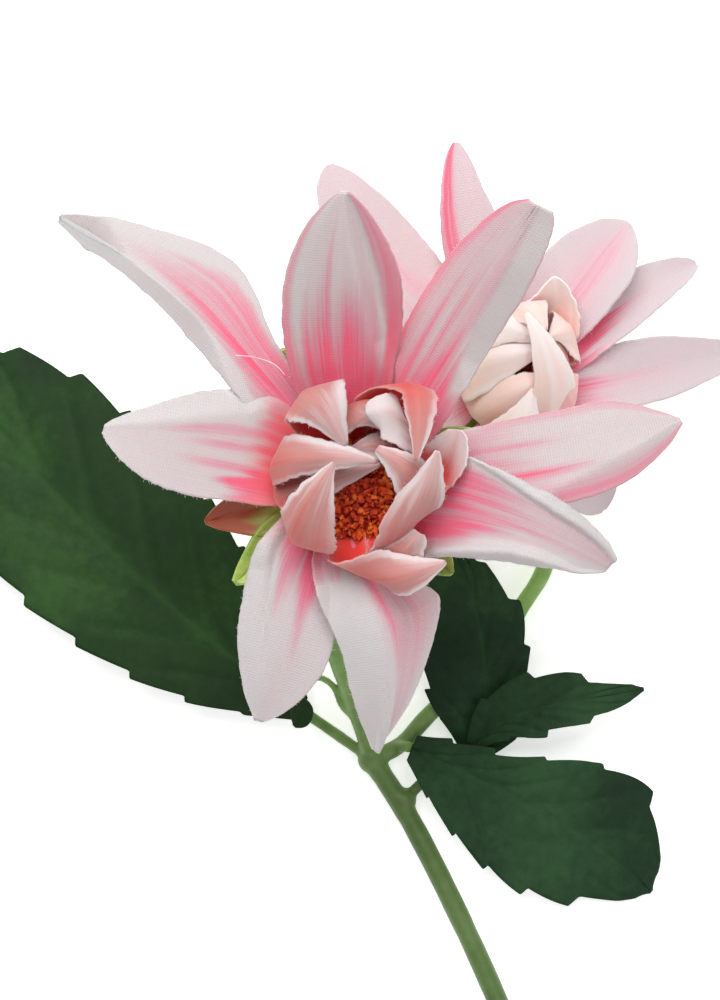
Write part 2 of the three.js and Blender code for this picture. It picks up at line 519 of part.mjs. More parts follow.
function bloom(prefix, seat, axis, outerBlades, [rows, cols], innerBlades, bractTurns, stemRoom) {
  const frame = bloomFrame(seat, axis);
  const petals = (grow) => outerBlades.map(
    (blade) => bladeSolid(moved(blade, seat), evenStations(rows), cols, CLOTH, grow));
  const outer = fuse([hub(OUTER_HUB_R, OUTER_HUB, frame), ...petals(0)]);
  const outerRoom = fuse([hub(OUTER_HUB_R, OUTER_HUB, frame, CLEAR), ...petals(CLEAR)]);
  const innerHub = hub(INNER_HUB_R, INNER_HUB, frame);
  const curls = innerBlades(frame).map((blade) => bladeSolid(blade, evenStations(6), 1, CLOTH));
  const inner = whole(fuse([innerHub, ...curls]).subtract(outerRoom));
  const disc = whole(discSolid(frame).subtract(outerRoom));
  const discRoom = hub(DISC_R + CLEAR, [DISC_BASE - CLEAR, DISC_BASE + 1], frame);
  const calyx = whole(calyxSolid(bractTurns, frame, stemRoom).subtract(outerRoom));
  return [
    meshOf(`${prefix}_calyx`, calyx, CALYX_GREEN, 0.55),
    meshOf(`${prefix}_outer_petals`, whole(outer), OUTER_PINK, 0.85),
    meshOf(`${prefix}_inner_petals`, whole(inner.subtract(discRoom)), INNER_PEACH, 0.85),
    meshOf(`${prefix}_disc`, disc, DISC_RUST, 0.95),
  ];
}

const stemAt = (grow) => fuse([
  ...STEM_RUNS.map((run) => tube(run, grow)),
  ...KNUCKLES.map(([x, y, z, r]) => solidOf(new THREE.IcosahedronGeometry(r + grow, 1).translate(x, y, z))),
]);
const stem = whole(stemAt(0));
const stemRoom = stemAt(SOCKET);

const spray = new THREE.Group();
spray.name = "artificial_cut_dahlia";
spray.add(meshOf("stem", stem, STEM_GREEN, 0.5));
spray.add(...bloom("front", FRONT_SEAT, FRONT_AXIS, FRONT_OUTER, [8, 3],
  () => FRONT_INNER.map((blade) => moved({ ...INNER_BEND, ...blade }, FRONT_SEAT)), FRONT_BRACTS, stemRoom));
spray.add(...bloom("back", BACK_SEAT, BACK_AXIS,
  BACK_OUTER.map((blade) => ({ ...blade, ...BACK_BEND })), [7, 2],
  (frame) => BACK_INNER.map((blade) => framed({ ...INNER_BEND, ...blade }, frame)), BACK_BRACTS, stemRoom));
for (const [name, leaf] of Object.entries(LEAVES)) {
  spray.add(meshOf(name, whole(leafSolid(leaf).subtract(stemRoom)), LEAF_GREEN, 0.6));
}

// The table is Z = 0 and the middle of the spray's own box is over the origin
const box = new THREE.Box3().setFromObject(spray);
const shift = box.getCenter(new THREE.Vector3()).setZ(box.min.z).negate();
for (const mesh of spray.children) mesh.geometry.translate(shift.x, shift.y, shift.z);

export default spray;
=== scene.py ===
"""Looks of an artificial cut dahlia: two cloth blooms on a forking coated stem, and toothed leaves."""

import logging
import math
from dataclasses import dataclass, field, replace
from enum import Enum

import bmesh
import bpy
import numpy as np
from mathutils import Matrix, Vector


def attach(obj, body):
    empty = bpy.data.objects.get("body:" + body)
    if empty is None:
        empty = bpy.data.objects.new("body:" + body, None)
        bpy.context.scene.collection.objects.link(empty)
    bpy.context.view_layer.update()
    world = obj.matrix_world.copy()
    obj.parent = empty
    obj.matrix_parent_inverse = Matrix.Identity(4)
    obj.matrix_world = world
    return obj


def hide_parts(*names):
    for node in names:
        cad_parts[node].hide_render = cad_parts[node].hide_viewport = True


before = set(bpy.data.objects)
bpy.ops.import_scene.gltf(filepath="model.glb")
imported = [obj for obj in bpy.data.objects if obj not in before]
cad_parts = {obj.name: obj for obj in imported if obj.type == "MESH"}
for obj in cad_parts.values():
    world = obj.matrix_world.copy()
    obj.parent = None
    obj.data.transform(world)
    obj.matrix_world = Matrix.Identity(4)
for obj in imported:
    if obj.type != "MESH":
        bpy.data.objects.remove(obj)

log = logging.getLogger("dahlia")
logging.basicConfig(level=logging.INFO, format="%(name)s: %(message)s")

MM = 0.001
# The blooms are laid out in millimetres round a point between them. This carries them to the table.
SHIFT = np.array([6.031, 44.958, -0.071])
EYE_HEIGHT = 675.0
TABLE_GAP = 0.00002  # least height of anything over the table, in metres
Point = tuple[float, float, float]


class Slot(Enum):
    """Material slots that the record names."""

    STEM = "stem"
    CALYX = "calyx"
    OUTER = "outer_petals"
    INNER = "inner_petals"
    DISC = "disc"
    LEAF = "leaf"


class Side(Enum):
    """Faces of a sheet of cloth."""

    UPPER = 1.0
    LOWER = -1.0


# Small maths


def linear(code: str) -> tuple[float, float, float, float]:
    """Turns an sRGB hex value into linear colour.

    Args:
        code: six hex digits, with or without a leading #.

    Returns:
        Red, green, blue and alpha for a shader socket.
    """
    digits = code.lstrip("#")
    parts = [int(digits[i:i + 2], 16) / 255 for i in (0, 2, 4)]
    flat = [c / 12.92 if c <= 0.04045 else ((c + 0.055) / 1.055) ** 2.4 for c in parts]
    return (flat[0], flat[1], flat[2], 1.0)


def smooth(x: np.ndarray | float) -> np.ndarray:
    """Eases from 0 to 1 between x = 0 and x = 1."""
    c = np.clip(x, 0.0, 1.0)
    return c * c * (3 - 2 * c)


def unit(v: np.ndarray) -> np.ndarray:
    """Scales vectors in the last axis to length 1."""
    return v / np.maximum(np.linalg.norm(v, axis=-1, keepdims=True), 1e-12)


def hashed(x: np.ndarray, seed: int) -> np.ndarray:
    """Gives each whole number in x its own repeatable value from 0 to 1."""
    v = np.sin(x * 12.9898 + seed * 78.233) * 43758.5453
    return v - np.floor(v)


def wander(x: np.ndarray, seed: int) -> np.ndarray:
    """Smooth repeatable wandering line with values from -1 to 1 and a bend at each whole x.

    Args:
        x: places along the line.
        seed: picks the line.

    Returns:
        Height of the line at each x.
    """
    low = np.floor(x)
    u = smooth(x - low)
    return 2 * (hashed(low, seed) * (1 - u) + hashed(low + 1, seed) * u) - 1


# Sheets of cloth


@dataclass(frozen=True)
class Stroke:
    """A line drawn on a blade: s runs from -1 at its left margin to 1, and t from base to tip.

    s and t are given at the line's start and end. width is a share of the half width.
    """

    s: tuple[float, float]
    t: tuple[float, float]
    width: float
    strength: float

    def at(self, s: np.ndarray, t: np.ndarray) -> np.ndarray:
        """Strength of the stroke at each point of a blade.

        Args:
            s: place of each point across the blade.
            t: place of each point from base to tip.

        Returns:
            Strength at each point.
        """
        u = np.clip((t - self.t[0]) / (self.t[1] - self.t[0]), 0, 1)
        centre = self.s[0] + (self.s[1] - self.s[0]) * u
        inside = smooth((t - self.t[0]) / 0.08 + 1) * (1 - smooth((u - 0.55) / 0.45))
        return self.strength * inside * np.exp(-(((s - centre) / self.width) ** 2))


@dataclass(frozen=True)
class Fold:
    """A pressed line across a blade, past which the sheet slopes off to one side.

    side is -1 or 1, slope is rise over run, t and s are the line's stations, and soft rounds it off.
    """

    side: int
    slope: float
    t: tuple[float, ...]
    s: tuple[float, ...]
    soft: float = 0.06

    def at(self, s: np.ndarray, t: np.ndarray) -> np.ndarray:
        """Height of the fold.

        Args:
            s: place of each point across the blade.
            t: place of each point from base to tip.

        Returns:
            Height at each point as a share of the half width.
        """
        past = self.side * (s - np.interp(t, self.t, self.s))
        bend = (past + self.soft) ** 2 / (4 * self.soft)
        return self.slope * np.where(past > self.soft, past, np.where(past < -self.soft, 0, bend))


@dataclass(frozen=True)
class Paint:
    """Dye on one petal: how far it climbs from the base, its strokes and how red the base is. On some
    petals these also lay painted highlight and painted shade.
    """

    base: tuple[float, float] = (0.15, 0.5)
    depth: float = 0.8
    strokes: tuple[Stroke, ...] = ()
    coral: tuple[float, float] = (0.02, 0.18)
    wash: float = 0.04

    def dye(self, s: np.ndarray, t: np.ndarray, seed: int) -> np.ndarray:
        """Pink dye on the petal, with the painted highlight and painted shade that some strokes lay. The
        brush lifts off a little unevenly.

        Args:
            s: place of each point across the blade.
            t: place of each point from base to tip.
            seed: picks this petal's own uneven edge.

        Returns:
            Amount of dye at each point, from 0 to about 1.
        """
        lifted = t + 0.11 * wander(3.1 * s + 9, seed) + 0.06 * wander(8.7 * s + 9, seed + 1)
        low, high = self.base
        total = self.wash + self.depth * (1 - smooth((lifted - low) / (high - low)))
        for stroke in self.strokes:
            total = total + stroke.at(s, t)
        return np.clip(total, 0, 1.2)

    def red(self, t: np.ndarray) -> np.ndarray:
        """Amount of coral red at the base of the petal."""
        return 1 - smooth((t - self.coral[0]) / (self.coral[1] - self.coral[0]))


@dataclass(frozen=True)
class Blade:
    """One petal, bract or leaf as a bent sheet of cloth, in millimetres from its bloom's seat.

    line is the midrib's base, two pulls and tip. face is the way the upper side looks at base and tip.
    left and right are half widths from base to tip. fold, cup and rolls are degrees at base and tip
    towards the upper side. ripple is how far the margins wave, and creases stand up or down by their
    strength, all in millimetres.
    """

    line: tuple[Point, Point, Point, Point]
    face: tuple[Point, Point] = ((0, 0, 1), (0, 0, 1))
    left: tuple[float, ...] = (4, 7, 9, 9, 7, 0.8)
    right: tuple[float, ...] = (4, 7, 9, 9, 7, 0.8)
    fold: tuple[float, float] = (4, 4)
    cup: tuple[float, float] = (10, 10)
    roll_left: tuple[float, float] = (0, 0)
    roll_right: tuple[float, float] = (0, 0)
    round: float = 1.6
    teeth: int = 0
    depth: float = 0.0
    ripple: float = 0.25
    creases: tuple[Stroke, ...] = ()
    folds: tuple[Fold, ...] = ()
    paint: Paint = Paint()

    def spine(self, t: np.ndarray) -> tuple[np.ndarray, np.ndarray]:
        """Midrib of the blade.

        Args:
            t: places from base to tip.

        Returns:
            Points of the midrib and its directions at each t.
        """
        p = np.array(self.line, float)
        w = np.stack([(1 - t) ** 3, 3 * (1 - t) ** 2 * t, 3 * (1 - t) * t * t, t ** 3], -1)
        d = np.stack([(1 - t) ** 2, 2 * (1 - t) * t, t * t], -1)
        return w @ p, unit(d @ np.diff(p, axis=0))

    def half(self, widths: tuple[float, ...], t: np.ndarray) -> np.ndarray:
        """Smooth run of half widths.

        Args:
            widths: half widths at evenly spaced stations.
            t: places from base to tip.

        Returns:
            Half width at each t.
        """
        v = np.array(widths, float)
        n = len(v) - 1
        slopes = np.gradient(v)
        slopes[0] = v[1] - v[0]
        slopes[-1] = (v[-1] - v[-2]) * self.round
        i = np.minimum((t * n).astype(int), n - 1)
        u = t * n - i
        h = (1 + 2 * u) * (1 - u) ** 2 * v[i] + u * (1 - u) ** 2 * slopes[i]
        h += u * u * (3 - 2 * u) * v[i + 1] + u * u * (u - 1) * slopes[i + 1]
        return np.maximum(h, 0.4)

    def saw(self, t: np.ndarray) -> np.ndarray:
        """How far out a tooth stands: a slow rise to its point and a quick fall to the notch.

        Args:
            t: places from base to tip.

        Returns:
            Share of a tooth's depth at each t.
        """
        if not self.teeth:
            return np.zeros_like(t)
        phase = (t * self.teeth) % 1
        return np.where(phase < 0.8, phase / 0.8, (1 - phase) / 0.2)

    def surface(self, rows: int, cols: int, seed: int,
                fray: float) -> tuple[np.ndarray, np.ndarray, np.ndarray, np.ndarray]:
        """Middle surface of the sheet.

        Args:
            rows: steps from base to tip.
            cols: steps from the midrib to each margin.
            seed: picks this sheet's own ripples.
            fray: how far single margin points wander in and out, in millimetres.

        Returns:
            Points, s and t of each point, and its place on the flat cloth in millimetres.
        """
        t = np.linspace(0, 1, rows + 1) ** 0.96
        spine, along = self.spine(t)
        faces = unit(np.array(self.face, float))
        ease = smooth(t)[:, None]
        side = unit(np.cross(along, faces[0] * (1 - ease) + faces[1] * ease))
        up = np.cross(side, along)
        points = np.zeros((rows + 1, 2 * cols + 1, 3))
        s = np.zeros((rows + 1, 2 * cols + 1))
        flat = np.zeros((rows + 1, 2 * cols + 1, 2))
        length = np.concatenate([[0], np.cumsum(np.linalg.norm(np.diff(spine, axis=0), axis=1))])
        points[:, cols] = spine
        flat[:, cols, 1] = length
        for sign, widths, roll in ((-1, self.left, self.roll_left), (1, self.right, self.roll_right)):
            plain = self.half(widths, t)
            stand = self.depth * np.minimum(1, plain / 6) * smooth(t * 6)
            saw = self.saw(t)
            jitter = fray * wander(t * rows * 0.55, seed * 7 + sign)
            jitter = jitter * smooth(t * 8) * np.minimum(1, plain / 3)
            width = plain + stand * (saw - 0.3) + jitter
            x = np.zeros_like(t)
            z = np.zeros_like(t)
            for i in range(1, cols * 4 + 1):
                q = (i - 0.5) / (cols * 4)
                bend = (self.fold[0] + (self.fold[1] - self.fold[0]) * t) * smooth(q / 0.2)
                bend = bend + (self.cup[0] + (self.cup[1] - self.cup[0]) * t) * q
                bend = bend + (roll[0] + (roll[1] - roll[0]) * t) * smooth((q - 0.4) / 0.6)
                x = x + np.cos(np.radians(bend)) * width / (cols * 4)
                z = z + np.sin(np.radians(bend)) * width / (cols * 4)
                if i % 4:
                    continue
                c, part = cols + sign * (i // 4), i / (cols * 4)
                slope = sum((fold.at(np.full_like(t, sign * part), t) for fold in self.folds),
                            np.zeros_like(t))
                lift = z + width * slope
                points[:, c] = spine + side * (sign * x)[:, None] + up * lift[:, None]
                points[:, c] += along * (0.8 * stand * saw * part)[:, None]
                s[:, c] = sign * part
                flat[:, c] = np.stack([sign * part * width, length], -1)
        tt = np.repeat(t[:, None], 2 * cols + 1, 1)
        lift = self.ripple * (np.abs(s) ** 2.2) * wander(tt * length[-1] / 9 + 3 * np.sign(s),
                                                         seed + 31)
        lift *= smooth(tt * 4)
        for crease in self.creases:
            lift = lift + crease.at(s, tt)
        points += self.normals(points) * lift[..., None]
        return points, s, tt, flat

    @staticmethod
    def normals(points: np.ndarray) -> np.ndarray:
        """Unit normals of a grid of points.

        Args:
            points: rows from base to tip, left to right in each.

        Returns:
            The normals, in the same order.
        """
        ds = np.gradient(points, axis=1)
        dt = np.gradient(points, axis=0)
        return unit(np.cross(ds, dt))


@dataclass
class ClothMesh:
    """Collects sheets of cloth into one mesh with their paint, threads and margins."""

    thickness: float
    points: list[np.ndarray] = field(default_factory=list)
    quads: list[np.ndarray] = field(default_factory=list)
    rims: list[np.ndarray] = field(default_factory=list)
    values: dict[str, list[np.ndarray]] = field(default_factory=dict)
    margins: list[tuple[np.ndarray, np.ndarray]] = field(default_factory=list)
    count: int = 0

    def add(self, blade: Blade, place: Matrix, rows: int, cols: int, seed: int,
            fray: float = 0.12) -> None:
        """Adds one sheet.

        Args:
            blade: the sheet's shape and paint.
            place: carries its own millimetres to the layout's.
            rows: steps from base to tip.
            cols: steps from midrib to margin.
            seed: picks the sheet's ripples, fray and streaks.
            fray: how uneven the cut margin is, in millimetres.
        """
        grid, s, t, flat = blade.surface(rows, cols, seed, fray)
        grid = carried(grid, place)
        normal = Blade.normals(grid)
        half = self.thickness / 2
        n = grid.shape[0] * grid.shape[1]
        index = np.arange(n).reshape(grid.shape[:2])
        upper = quads_of(index)
        lower = upper[:, [0, 3, 2, 1]] + n
        rim = np.concatenate([index[0, :-1], index[:-1, -1], index[-1, :0:-1], index[:0:-1, 0]])
        onward = np.roll(rim, -1)
        wall = np.stack([onward, rim, rim + n, onward + n], -1)
        self.points += [(grid + normal * half).reshape(-1, 3), (grid - normal * half).reshape(-1, 3)]
        self.quads.append(np.concatenate([upper, lower]) + self.count)
        self.rims.append(wall + self.count)
        growth = np.stack([s.ravel() + 5.3 * seed, t.ravel(), np.full(n, 1.7 * seed)], -1)
        both = {
            "dye": blade.paint.dye(s, t, seed).ravel(),
            "coral": (blade.paint.red(t) * np.ones_like(s)).ravel(),
            "edge": np.abs(s).ravel() ** 6,
            "face": np.full(n, Side.UPPER.value),
            "growth": growth,
            "cloth": flat.reshape(-1, 2),
        }
        for name, value in both.items():
            under = np.full(n, Side.LOWER.value) if name == "face" else value
            self.store(name, np.concatenate([value, under]))
        for edge, inside in ((-1, -2), (0, 1)):
            out = unit(grid[:, edge] - grid[:, inside])
            self.margins.append((grid[2:-1, edge], out[2:-1]))
        self.count += 2 * n

    def add_turned(self, profile: list[tuple[float, float]], turns: np.ndarray, ribs: float,
                   place: Matrix, values: dict[str, float]) -> None:
        """Adds a turned shape, such as a button or a cup.

        Args:
            profile: radius and height of each ring, from below.
            turns: angles round the axis.
            ribs: how far its sixteen ribs stand out, in millimetres.
            place: carries its own millimetres to the layout's.
            values: what each attribute is all over it.
        """
        rings = []
        for r, z in profile:
            reach = r + ribs * np.cos(16 * turns) * min(1, r / 4)
            rings.append(np.stack([reach * np.cos(turns), reach * np.sin(turns),
                                   np.full_like(turns, z)], -1))
        grid = carried(np.array(rings), place)
        points = grid.reshape(-1, 3)
        self.points.append(points)
        self.quads.append(quads_of(np.arange(len(points)).reshape(grid.shape[:2])) + self.count)
        for key, value in values.items():
            self.store(key, np.full(len(points), value))
        self.store("growth", points * 0.05)
        self.store("cloth", points[:, :2])
        self.count += len(points)

    def store(self, key: str, value: np.ndarray) -> None:
        """Keeps one more stretch of an attribute's values."""
        self.values.setdefault(key, []).append(value)

    def build(self, name: str) -> bpy.types.Object:
        """Makes the mesh object.

        Args:
            name: the object's name.

        Returns:
            The object, in metres in the table's frame, with its attributes.
        """
        points = on_table(np.concatenate(self.points))
        faces = np.concatenate([np.concatenate(self.quads), np.concatenate(self.rims)])
        flat_faces = np.zeros(len(faces), bool)
        flat_faces[-sum(len(r) for r in self.rims):] = True
        made = mesh_object(name, points, faces, flat_faces)
        data = made.data
        for key, parts in self.values.items():
            value = np.concatenate(parts).astype(np.float32)
            if key == "cloth":
                corners = np.zeros(len(data.loops), np.int32)
                data.loops.foreach_get("vertex_index", corners)
                layer = data.uv_layers.new(name="cloth")
                layer.uv.foreach_set("vector", value[corners].ravel())
            elif value.ndim == 2:
                kept = data.attributes.new(key, "FLOAT_VECTOR", "POINT")
                kept.data.foreach_set("vector", value.ravel())
            else:
                data.attributes.new(key, "FLOAT", "POINT").data.foreach_set("value", value)
        return made


def carried(grid: np.ndarray, place: Matrix) -> np.ndarray:
    """Turns and moves a grid of points by a matrix."""
    return grid @ np.array(place.to_3x3()).T + np.array(place.translation)


def quads_of(index: np.ndarray) -> np.ndarray:
    """Rows of four corner numbers for the faces of a grid."""
    a, b, d, e = index[:-1, :-1], index[:-1, 1:], index[1:, :-1], index[1:, 1:]
    return np.stack([a, b, e, d], -1).reshape(-1, 4)


def in_frame(points: np.ndarray) -> np.ndarray:
    """Carries layout millimetres to metres in the table's frame."""
    return (points + SHIFT) * MM


def on_table(points: np.ndarray) -> np.ndarray:
    """Carries layout millimetres to the table's frame, and lifts what would sink into the table.

    Args:
        points: points in layout millimetres.

    Returns:
        The points in metres in the table's frame.
    """
    carried_points = in_frame(points)
    carried_points[:, 2] = np.maximum(carried_points[:, 2], TABLE_GAP)
    return carried_points


def linked(name: str, data: bpy.types.ID) -> bpy.types.Object:
    """Makes an object of some data and links it to the scene.

    Args:
        name: the object's name.
        data: its mesh, light or camera.

    Returns:
        The object.
    """
    made = bpy.data.objects.new(name, data)
    bpy.context.scene.collection.objects.link(made)
    return made


def mesh_object(name: str, points: np.ndarray, faces: np.ndarray,
                flat_faces: np.ndarray | None = None) -> bpy.types.Object:
    """Makes a mesh object from arrays.

    Args:
        name: the object's name.
        points: corners in metres.
        faces: rows of three or four corner numbers.
        flat_faces: True for each face that isn't smooth shaded.

    Returns:
        The object, linked to the scene.
    """
    data = bpy.data.meshes.new(name)
    data.vertices.add(len(points))
    data.vertices.foreach_set("co", points.astype(np.float32).ravel())
    sides = faces.shape[1]
    data.loops.add(faces.size)
    data.loops.foreach_set("vertex_index", faces.astype(np.int32).ravel())
    data.polygons.add(len(faces))
    data.polygons.foreach_set("loop_start", np.arange(0, faces.size, sides, dtype=np.int32))
    data.update(calc_edges=True)
    data.validate()
    shade = np.ones(len(data.polygons), bool)
    if flat_faces is not None:
        shade[:] = ~flat_faces
    data.polygons.foreach_set("use_smooth", shade)
    return linked(name, data)


# Finishes


def add(tree: bpy.types.NodeTree, kind: str, inputs: dict[int | str, object] | None = None,
        **settings: object) -> bpy.types.Node:
    """Adds a node with its settings and links.

    Args:
        tree: the node tree.
        kind: the node's type name.
        inputs: socket number or name to a value, or to the socket that feeds it.
        **settings: the node's own properties.

    Returns:
        The new node.
    """
    made = tree.nodes.new(kind)
    for key, value in settings.items():
        setattr(made, key, value)
    for key, value in (inputs or {}).items():
        if isinstance(value, bpy.types.NodeSocket):
            tree.links.new(value, made.inputs[key])
        else:
            made.inputs[key].default_value = value
    return made


def sums(tree: bpy.types.NodeTree, operation: str, a: object, b: object = 0.0,
         clamp: bool = False) -> bpy.types.NodeSocket:
    """One step of arithmetic on numbers or sockets, as a socket."""
    return add(tree, "ShaderNodeMath", {0: a, 1: b}, operation=operation, use_clamp=clamp).outputs[0]


def plus(tree: bpy.types.NodeTree, a: object, b: object) -> bpy.types.NodeSocket:
    """Sum of two numbers or sockets, as a socket."""
    return sums(tree, "ADD", a, b)


def times(tree: bpy.types.NodeTree, a: object, b: object, clamp: bool = False) -> bpy.types.NodeSocket:
    """Product of two numbers or sockets, as a socket."""
    return sums(tree, "MULTIPLY", a, b, clamp)


def painted(tree: bpy.types.NodeTree, name: str) -> bpy.types.NodeSocket:
    """A number that the mesh carries at each point, as a socket."""
    return add(tree, "ShaderNodeAttribute", attribute_name=name).outputs["Fac"]


def own_place(tree: bpy.types.NodeTree) -> bpy.types.NodeSocket:
    """Place in the spray's own frame, in metres, as a socket."""
    return add(tree, "ShaderNodeTexCoord").outputs["Object"]


def blend(tree: bpy.types.NodeTree, share: object, a: object, b: object,
          kind: str = "MIX") -> bpy.types.NodeSocket:
    """Mixes two colours by a share, as a socket."""
    made = add(tree, "ShaderNodeMix", {0: share, 6: a, 7: b}, data_type="RGBA", blend_type=kind)
    return made.outputs[2]


def shaded(tree: bpy.types.NodeTree, colour: object, shade: object) -> bpy.types.NodeSocket:
    """Darkens a colour by a number from 0 to 1, as a socket."""
    grey = add(tree, "ShaderNodeCombineColor", {0: shade, 1: shade, 2: shade}).outputs[0]
    return blend(tree, 1.0, colour, grey, "MULTIPLY")


def ramp(tree: bpy.types.NodeTree, share: object,
         stops: list[tuple[float, str]]) -> bpy.types.NodeSocket:
    """Runs a number through a row of colours.

    Args:
        tree: the node tree.
        share: the number, from 0 to 1.
        stops: place and sRGB hex colour of the first, the last and then the middle stops.

    Returns:
        The colour, as a socket.
    """
    made = add(tree, "ShaderNodeValToRGB", {0: share})
    row = made.color_ramp.elements
    for i, (place, code) in enumerate(stops):
        stop = row[i] if i < 2 else row.new(place)
        stop.position = place
        stop.color = linear(code)
    return made.outputs[0]


def noise(tree: bpy.types.NodeTree, where: object, scale: float,
          detail: float = 2.0) -> bpy.types.NodeSocket:
    """Cloudy noise from 0 to 1 at that scale, as a socket."""
    return add(tree, "ShaderNodeTexNoise",
               {"Vector": where, "Scale": scale, "Detail": detail}).outputs[0]


@dataclass(frozen=True)
class Surface:
    """A material in the making: its node tree and its surface shader."""

    material: bpy.types.Material
    tree: bpy.types.NodeTree
    shader: bpy.types.Node

    def colour(self, socket: bpy.types.NodeSocket, name: str = "Base Color") -> None:
        """Feeds a colour to the shader."""
        self.tree.links.new(socket, self.shader.inputs[name])

    def bump(self, height: bpy.types.NodeSocket, strength: float, distance: float) -> None:
        """Raises the surface by a height, over a distance in metres."""
        made = add(self.tree, "ShaderNodeBump",
                   {"Strength": strength, "Distance": distance, "Height": height})
        self.tree.links.new(made.outputs[0], self.shader.inputs["Normal"])

    def glow_through(self, weight: float, tint: Point, reach: float) -> None:
        """Lets light soak through the material.

        Args:
            weight: how much of the light soaks in.
            tint: shares of red, green and blue that come through.
            reach: how far the light gets, in metres.
        """
        self.shader.inputs["Subsurface Weight"].default_value = weight
        self.shader.inputs["Subsurface Radius"].default_value = tint
        self.shader.inputs["Subsurface Scale"].default_value = reach


@dataclass(frozen=True)
class Finish:
    """What every finish has: its name and how it shines."""

    name: str
    roughness: float = 0.6
    sheen: float = 0.0

    def start(self) -> Surface:
        """Makes the material with its surface shader.

        Returns:
            The material in the making.
        """
        material = bpy.data.materials.new(self.name)
        material.use_nodes = True
        tree = material.node_tree
        tree.nodes.clear()
        shader = add(tree, "ShaderNodeBsdfPrincipled",
                     {"Roughness": self.roughness, "Sheen Weight": self.sheen})
        add(tree, "ShaderNodeOutputMaterial", {0: shader.outputs[0]})
        return Surface(material, tree, shader)


@dataclass(frozen=True)
class DyedCloth(Finish):
    """Thin woven polyester, cut and heat pressed, with dye brushed on by hand from the base.

    The eye sees a matt weave with a faint silky sheen, streaks of dye along the petal and whitish raw
    margins.
    """

    white: str = "CCC8C8"
    blush: str = "CFAAB2"
    pink: str = "DB889C"
    deep: str = "EC6584"
    base: str = "E85C5C"
    thread: float = 0.55  # real threads stand 0.4 mm apart, drawn a little coarser so that they show

    def build(self) -> bpy.types.Material:
        """Makes the cloth's nodes.

        Returns:
            The finished material.
        """
        made = self.start()
        tree = made.tree
        growth = add(tree, "ShaderNodeAttribute", attribute_name="growth").outputs["Vector"]
        dye, red, edge = (painted(tree, name) for name in ("dye", "coral", "edge"))
        broad = add(tree, "ShaderNodeMapping", {"Vector": growth, "Scale": (5.0, 0.9, 1.0)}).outputs[0]
        fine = add(tree, "ShaderNodeMapping", {"Vector": growth, "Scale": (16.0, 1.5, 1.0)}).outputs[0]
        streak = sums(tree, "SUBTRACT", noise(tree, broad, 1.6, 3.0), 0.5)
        hair = sums(tree, "SUBTRACT", noise(tree, fine, 1.8, 2.0), 0.5)
        change = plus(tree, times(tree, streak, 2.2), times(tree, hair, 1.3))
        amount = times(tree, dye, plus(tree, change, 1.0), clamp=True)
        colour = ramp(tree, amount,
                      [(0.0, self.white), (1.0, self.deep), (0.28, self.blush), (0.62, self.pink)])
        reddened = times(tree, red, plus(tree, times(tree, streak, 1.2), 0.85), clamp=True)
        colour = blend(tree, reddened, colour, linear(self.base))
        colour = blend(tree, times(tree, edge, 0.35), colour, linear(self.white))
        height = self.weave(tree)
        # Painted shade: the weave's low places are a little darker.
        made.colour(shaded(tree, colour, plus(tree, times(tree, height, 0.1), 0.93)))
        made.bump(height, 0.6, 0.00014)
        made.glow_through(0.25, (1.0, 0.55, 0.5), 0.0012)
        return made.material

    def weave(self, tree: bpy.types.NodeTree) -> bpy.types.NodeSocket:
        """Plain weave, in which each thread goes over one and under the next.

        Args:
            tree: the node tree.

        Returns:
            Height of the weave, as a socket.
        """
        place = add(tree, "ShaderNodeUVMap", uv_map="cloth").outputs[0]
        parts = add(tree, "ShaderNodeSeparateXYZ", {0: place})
        turn = 2 * math.pi / self.thread
        across = sums(tree, "SINE", times(tree, parts.outputs[0], turn * 0.8))
        along = sums(tree, "SINE", times(tree, parts.outputs[1], turn))
        over = times(tree, across, along)
        rows = times(tree, along, 0.7)
        return plus(tree, times(tree, plus(tree, over, rows), 0.3), 0.5)


@dataclass(frozen=True)
class CurlCloth(DyedCloth):
    """The same cloth on the curled inner petals: coral inside, peach outside, with bare whitish tips."""

    white: str = "DDD0D0"
    blush: str = "C48C87"
    pink: str = "C87069"
    deep: str = "CE4A42"
    inside: str = "E6392F"

    def build(self) -> bpy.types.Material:
        """Makes the cloth's nodes.

        Returns:
            The finished material.
        """
        made = self.start()
        tree = made.tree
        growth = add(tree, "ShaderNodeAttribute", attribute_name="growth").outputs["Vector"]
        dye, red, edge, face = (painted(tree, name) for name in ("dye", "coral", "edge", "face"))
        fine = add(tree, "ShaderNodeMapping", {"Vector": growth, "Scale": (9.0, 1.2, 1.0)}).outputs[0]
        streak = sums(tree, "SUBTRACT", noise(tree, fine, 1.5, 3.0), 0.5)
        inner = sums(tree, "ADD", times(tree, face, 0.5), 0.5, clamp=True)
        gain = plus(tree, times(tree, inner, 0.3), 0.7)
        amount = times(tree, times(tree, dye, gain), plus(tree, streak, 1.0), clamp=True)
        colour = ramp(tree, amount,
                      [(0.0, self.white), (1.0, self.deep), (0.25, self.blush), (0.6, self.pink)])
        # Partly painted shade: the outer faces take the coral at the roots nearly as strongly as the
        # inner ones, for the red of the shaded hollows between petals.
        reddened = times(tree, red, plus(tree, times(tree, inner, 0.45), 0.55), clamp=True)
        colour = blend(tree, reddened, colour, linear(self.inside))
        colour = blend(tree, times(tree, edge, 0.38), colour, linear(self.white))
        height = self.weave(tree)
        # Painted shade: the weave's low places are a little darker.
        made.colour(shaded(tree, colour, plus(tree, times(tree, height, 0.05), 0.96)))
        made.bump(height, 0.3, 0.0001)
        made.glow_through(0.3, (1.0, 0.5, 0.4), 0.0012)
        return made.material


